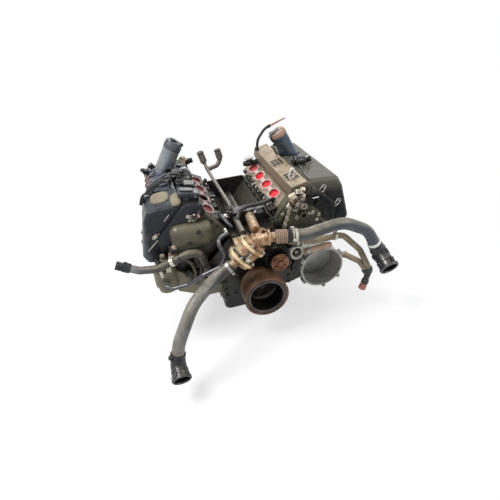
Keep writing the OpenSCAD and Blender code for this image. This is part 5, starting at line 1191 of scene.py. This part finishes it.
def front_details():
    """The rim of the alternator shell, the sensor below, and what sits on the drum and the filter."""
    form = Form()
    place = Vector((231, -602, 39))
    form.lathe(place, FRONT, [(-0.6, 76.4), (1.2, 76.6), (1.8, 78), (1.2, 79.6), (-0.6, 79.8)], 0, 84, True)
    form.made("shell_rim", ["pale_alloy"])
    sensor = Form()
    sensor.lathe((34, -610, -92), (0.2, -1, -0.1), [(-80, 9), (-10, 9), (-8, 12), (4, 12), (6, 9), (12, 8)],
                 0, 24)
    sensor.block((40, -596, -88), (20, 14, 16), (0.9, -0.2, 0.1), (0, 0, 1), 2.5, 1)
    sensor.made("crank_sensor", ["brass_stub", "connector_black"])
    drum = Form()
    way, reach = drum_way, (drum_b - drum_a).length
    flanges = (reach * 0.16, reach * 0.74)
    x, y = turned(way, FRONT)[:2]
    for level in flanges:
        for turn in (-0.5, 0.9, 2.2, -1.7):
            out = x * math.cos(turn) + y * math.sin(turn)
            drum.block(drum_a + way * (level - 3) + out * 42, (14, 12, 16), way, out, 3, 1)
            drum.bolt(drum_a + way * (level + 12) + out * 43, way, 5, 5, 0)
    for level in flanges:
        drum.lathe(drum_a, way, [(level - 1.4, 41), (level - 1.4, 49.4), (level - 0.6, 50.4),
                                 (level + 8.6, 50.4), (level + 9.4, 49.4), (level + 9.4, 41)], 4, 64, True)
    drum.lathe(drum_a, way, [(reach * 0.3, 40.2), (reach * 0.31, 41.4), (reach * 0.34, 41.4),
                             (reach * 0.35, 40.2)], 3, 64, True)
    drum.bolt(drum_a + way * 34 + x * 36, x, 9, 8, 0)
    drum.block(drum_a + way * 50 + x * 34 - y * 10, (22, 5, 12), x, way, 1.5, 0)
    drum.cable([drum_a + way * 20 + x * 38 - y * 22, drum_a + way * 48 + x * 44 - y * 14,
                drum_a + way * 80 + x * 34], 3.4, 2, 12, 10)
    drum.made("drum_fasteners", ["bright_bolt", "gold_stain", "rubber_black", "bore_dark", "gold_rim"])
    clips = Form()
    clips.block((-318, -524, 112), (18, 5, 44), (0.1, -0.1, 1), (1, 0, 0), 2, 0)
    clips.block((-342, -526, 96), (12, 5, 60), (-0.1, -0.1, 1), (1, 0, 0), 2, 0)
    clips.lathe((-324, -494, 121), (0.1, -0.2, 1), [(-6, 11), (8, 11), (10, 13), (16, 13), (18, 9)], 1, 22)
    clips.lathe((-350, -480, 119), UP, [(-4, 7), (6, 7), (8, 5), (8, 3)], 0, 16)
    clips.made("filter_clips", ["bright_bolt", "copper_pink"])


front_details()


def left_front_parts():
    """What sits behind the left hose: a dark bracket, a tan elbow, a second hose and their plugs."""
    form = Form()
    form.block((-263, -462, 54), (96, 30, 70), (0.3, 0, 1), (1, 0, -0.3), 6, 0)
    form.block((-236, -470, 128), (70, 34, 34), (0, -0.2, 1), (1, 0, -0.2), 6, 0)
    form.block((-288, -474, 118), (44, 30, 30), (-0.1, -0.2, 1), (1, 0, 0), 5, 0)
    form.block((-206, -474, 78), (60, 26, 60), (0.2, -0.3, 1), (1, 0, 0), 6, 0)
    form.block((-204, -476, 16), (70, 22, 50), (0.3, -0.1, 1), (1, 0, 0), 6, 0)
    form.cable([(-262, -490, 140), (-232, -506, 112), (-226, -508, 76), (-240, -504, 36), (-262, -496, 18)],
               7, 1, 20, 14, 6)
    form.cable([(-216, -492, 120), (-204, -508, 88), (-214, -510, 44), (-226, -500, 14)], 4.5, 1, 20, 12, 6)
    form.lathe((-250, -498, 70), (0.2, -1, 0.1), [(-6, 15), (4, 15), (6, 12), (12, 12), (13, 8)], 0, 24)
    form.lathe((-222, -500, 44), (0.2, -1, 0.3), [(-6, 10), (8, 10), (10, 7)], 2, 20)
    form.bolt((-276, -488, 134), (-0.2, -0.6, 0.8), 6, 6, 3)
    form.bolt((-200, -492, 108), (0, -0.8, 0.5), 5, 6, 3)
    elbow = Route([(-300, -496, 132), (-297, -508, 170), (-286, -516, 196), (-270, -502, 206)], 20)
    form.sweep(elbow, [(0, 11), (10, 11), (12, 14), (20, 14), (22, 11), (elbow.length - 34, 10.5),
                       (elbow.length - 32, 13), (elbow.length - 22, 13), (elbow.length - 20, 10.5),
                       (elbow.length, 10.5)], [4, 4, 4, 4, 4, 4, 2, 2, 4, 4], 24, False, 4)
    tube = [(0, 10), (18, 10), (20, 12.5), (30, 12.5), (32, 9), (48, 9), (50, 6)]
    form.lathe((-328, -500, 128), (0, -0.1, 1), tube, 5, 20)
    form.block((-344, -504, 150), (22, 14, 14), (-0.6, -0.5, 0.4), (0, 1, 0), 2.5, 2)
    form.made("left_front_parts", ["rubber_black", "hose_left", "connector_black", "bright_bolt", "pink_tan",
                                   "dusty_dome"])
    ring = Form()
    hub = Vector((128, -596.6, 134))
    look = Vector((0.12, -1, 0.1))
    ring.lathe(hub, look, [(-16, 17), (-2, 19), (3, 25), (8, 26.4), (14, 26), (16, 24), (15, 19), (8, 16.4),
                           (-12, 15)], 0, 44, True)
    ring.lathe(hub, look, [(-13, 15.4), (-10, 15.4), (-9, 13), (-9, 2)], 1, 32)
    ring.lathe(hub + Vector((2, 0, -2)), look, [(-12, 7.5), (5, 7.2), (7, 5.6), (7, 3.2), (1, 3)], 0, 20)
    ring.made("idler_ring", ["pale_alloy", "bore_dark"])
    side = Form()
    rng = random.Random(61)
    for strand in range(5):
        points = [in_bank(-1, -92 + strand * 9 + rng.uniform(-3, 3), y, 362 + strand * 13 + rng.uniform(0, 5))
                  for y in range(-452, -150, 34)]
        side.cable(points, rng.uniform(3.4, 5.6), strand % 2, 14, 10, 8)
    for k in range(9):
        y = -440 + k * 34
        place = in_bank(-1, -84 + rng.uniform(-8, 26), y, 374 + rng.uniform(0, 16))
        tilt = in_bank(-1, -0.75, rng.uniform(-0.3, 0.3), 0.6)
        side.block(place, (rng.uniform(20, 28), rng.uniform(15, 22), rng.uniform(14, 24)), tilt,
                   (rng.uniform(-0.3, 0.3), 1, 0), 2.6, rng.choice((0, 2, 2, 3)))
        side.lathe(place + tilt.normalized() * 18, tilt, [(0, 6), (5, 6.4), (8, 5), (8, 3)],
                   rng.choice((0, 1)), 14)
    lean = Vector((0.21, 0, 0.98))
    side.block((-199, -424, 335), (50, 72, 26), lean, (0, 1, 0), 6, 4)
    side.block((-203, -424, 358), (30, 48, 10), lean, (0, 1, 0), 4, 2)
    side.cable([(-176, -462, 346), (-174, -424, 349), (-177, -386, 347)], 2, 1, 10, 8)
    side.block((-186, -340, 335), (44, 40, 22), lean, (0, 1, 0), 5, 3)
    side.made("left_strip_looms", ["rubber_black", "loom_grey", "connector_black", "ribbed_dark",
                                   "box_slate"])


left_front_parts()


def fasteners():
    """The bolts of the cases, cam covers, block and sump."""
    form = Form()
    pairs = ((115, 155), (155, 115), (150, 58), (126, 10), (126, -25), (126, -54), (90, -54), (45, -54),
             (74, 190))
    starts = [(side * x, -700, z) for x, z in pairs for side in (-1, 1)] + [(0, -700, 190)]
    bolts_on(form, "timing_case_lower", starts, REAR, 5.5, 6, 1)
    chest = ((-88, 308), (-84, 280), (-80, 250), (-76, 215), (105, 309), (100, 285), (84, 245), (72, 212),
             (10, 309), (-40, 309), (55, 309))
    for side, name in ((1, "timing_case_upper_right"), (-1, "timing_case_upper_left")):
        kind = 0 if side > 0 else 1
        bolts_on(form, name, [in_bank(side, x, -700, z) for x, z in chest], REAR, 5, 5, kind)
    for side, name in ((1, "cam_cover_right"), (-1, "cam_cover_left")):
        bolts_on(form, name, [in_bank(side, 121, y, 420) for y in range(-464, -10, 56)],
                 in_bank(side, 0, 0, -1), 5, 6, 0)
    rear = [(side * x, 200, z) for x, z in ((60, 90), (150, 140), (175, 60)) for side in (1, -1)]
    bolts_on(form, "engine_block", rear, FRONT, 6, 6, 1)
    for side in (-1, 1):
        for y in range(-460, -10, 50):
            bolts_on(form, "oil_sump", [(side * 118, y, -400), (side * 126, y, -400)], UP, 4.5, 5, 1)
    form.made("case_bolts", ["bright_bolt", "dark_steel"])


fasteners()


def side_details():
    """Exhaust studs and gaskets, core plugs, ribs and the bolts on the back of the heads."""
    form = Form()
    for side, head in ((1, "cylinder_head_right"), (-1, "cylinder_head_left")):
        inwards = (-side, 0, 0)
        out = in_bank(side, 0.938, 0, -0.347)
        for y in CYLINDER_Y[side]:
            port = Vector((side * 256.9, y, 126))
            for shift in (-27, 27):
                place = seat(head, port + out * 120 + REAR * shift, -out, 0.9)[0]
                if place is not None:
                    form.lathe(place, out, [(-2, 4), (24, 4), (25, 3)], 0, 12)
                    form.bolt(place + out * 4, out, 7.5, 7, 2)
                    if shift > 0:
                        form.lathe(place - REAR * shift, out, [(-0.4, 18), (1.8, 18), (1.8, 25), (-0.4, 25)],
                                   1, 40, True)
        back = [in_bank(side, x, 100, z) for x, z in ((-74, 236), (70, 240), (-60, 300), (60, 320))]
        bolts_on(form, head, back, FRONT, 6.5, 6, 2)
        place = seat(head, in_bank(side, 0, 100, 262), FRONT)[0]
        if place is not None:
            form.lathe(place, REAR, [(-1, 24), (3, 24), (4, 22.5), (3, 20), (0.6, 19), (0.6, 2)], 0, 40)
        for k in range(4):
            y = -114 - CYLINDER_PITCH * k
            place, normal = seat("engine_block", (side * 400, y, 40), inwards, 0.6)
            if place is not None:
                form.lathe(place, normal, [(-1, 19), (3, 19), (4, 17.6), (3, 15.6), (0.8, 15), (0.8, 2)], 0,
                           36)
            for shift in (-34, 34):
                place, normal = seat("engine_block", (side * 400, y + shift, 40), inwards, 0.6)
                if place is not None:
                    form.block(place, (8, 78, 5), normal, REAR, 1.6, 3)
                place, normal = seat("bedplate", (side * 400, y + shift, -20), inwards, 0.8)
                if place is not None:
                    form.bolt(place, normal, 7, 6, 2)
        for k in range(7):
            place, normal = seat("oil_sump", (side * 300, -70 - 56 * k, -120), inwards, 0.5)
            if place is not None:
                form.block(place, (7, 56, 4), normal, REAR, 1.4, 3)
    form.made("side_fittings", ["steel", "gasket_dark", "dark_steel", "greasy_block"])


side_details()


# ---- Floor, light and backdrop ----
def make_floor():
    """The pale floor, which shows as white far away and keeps the shadow."""
    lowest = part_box("sump_pan")[0].z
    bpy.ops.mesh.primitive_plane_add(size=60, location=(0, -0.35, lowest - 0.0004))
    floor = bpy.context.object
    floor.name = "floor"
    s = Shader("pale_floor")
    s.join(s.mix(s.fit(s.noise(1.6, 3), 0.3, 0.7), rgb("f4f4f3"), rgb("f8f8f8")), s.bsdf.inputs["Base Color"])
    s.bsdf.inputs["Roughness"].default_value = 0.9
    glow = s.add("ShaderNodeEmission")
    blend = s.add("ShaderNodeMixShader")
    rays = s.add("ShaderNodeLightPath")
    seen = s.sum("MAXIMUM", rays.outputs["Is Camera Ray"], rays.outputs["Is Glossy Ray"])
    seen = s.sum("MAXIMUM", seen, rays.outputs["Is Transmission Ray"])
    far = s.add("ShaderNodeVectorMath", operation="LENGTH")
    s.tree.links.new(s.where, far.inputs[0])
    s.join(s.sum("MULTIPLY", seen, s.fit(far.outputs["Value"], 0.55, 1.7, 0.6, 1.0)), blend.inputs[0])
    s.tree.links.new(s.bsdf.outputs[0], blend.inputs[1])
    s.tree.links.new(glow.outputs[0], blend.inputs[2])
    s.tree.links.new(blend.outputs[0], s.tree.nodes["Material Output"].inputs["Surface"])
    floor.data.materials.append(s.material)


def make_sky():
    """Soft grey light from the world, which the camera and reflections see as white."""
    world = bpy.data.worlds.new("sky")
    bpy.context.scene.world = world
    world.use_nodes = True
    tree = world.node_tree
    sky = tree.nodes["Background"]
    sky.inputs[0].default_value = (0.95, 0.97, 1.0, 1)
    sky.inputs[1].default_value = 0.5
    white = tree.nodes.new("ShaderNodeBackground")
    white.inputs[0].default_value = (1, 1, 1, 1)
    white.inputs[1].default_value = 1.0
    blend = tree.nodes.new("ShaderNodeMixShader")
    rays = tree.nodes.new("ShaderNodeLightPath")
    seen = rays.outputs["Is Camera Ray"]
    for kind in ("Is Glossy Ray", "Is Transmission Ray"):
        either = tree.nodes.new("ShaderNodeMath")
        either.operation = "MAXIMUM"
        tree.links.new(seen, either.inputs[0])
        tree.links.new(rays.outputs[kind], either.inputs[1])
        seen = either.outputs[0]
    tree.links.new(seen, blend.inputs[0])
    tree.links.new(sky.outputs[0], blend.inputs[1])
    tree.links.new(white.outputs[0], blend.inputs[2])
    tree.links.new(blend.outputs[0], tree.nodes["World Output"].inputs["Surface"])


def make_lamps():
    """Three soft round lamps, aimed at the middle of the engine."""
    for place, size, watts in (((-1.5, -0.7, 2.6), 1.2, 74), ((2.2, -1.8, 1.7), 1.3, 26),
                               ((0.5, 2.2, 2.2), 1.4, 34)):
        data = bpy.data.lights.new("softbox", "AREA")
        data.shape = "DISK"
        data.size = size
        data.energy = watts
        lamp = bpy.data.objects.new("softbox", data)
        bpy.context.scene.collection.objects.link(lamp)
        lamp.location = place
        lamp.rotation_euler = (Vector((0, -0.3, 0.1)) - Vector(place)).to_track_quat("-Z", "Y").to_euler()


make_floor()
make_sky()
make_lamps()
bpy.context.scene.view_settings.view_transform = "Standard"
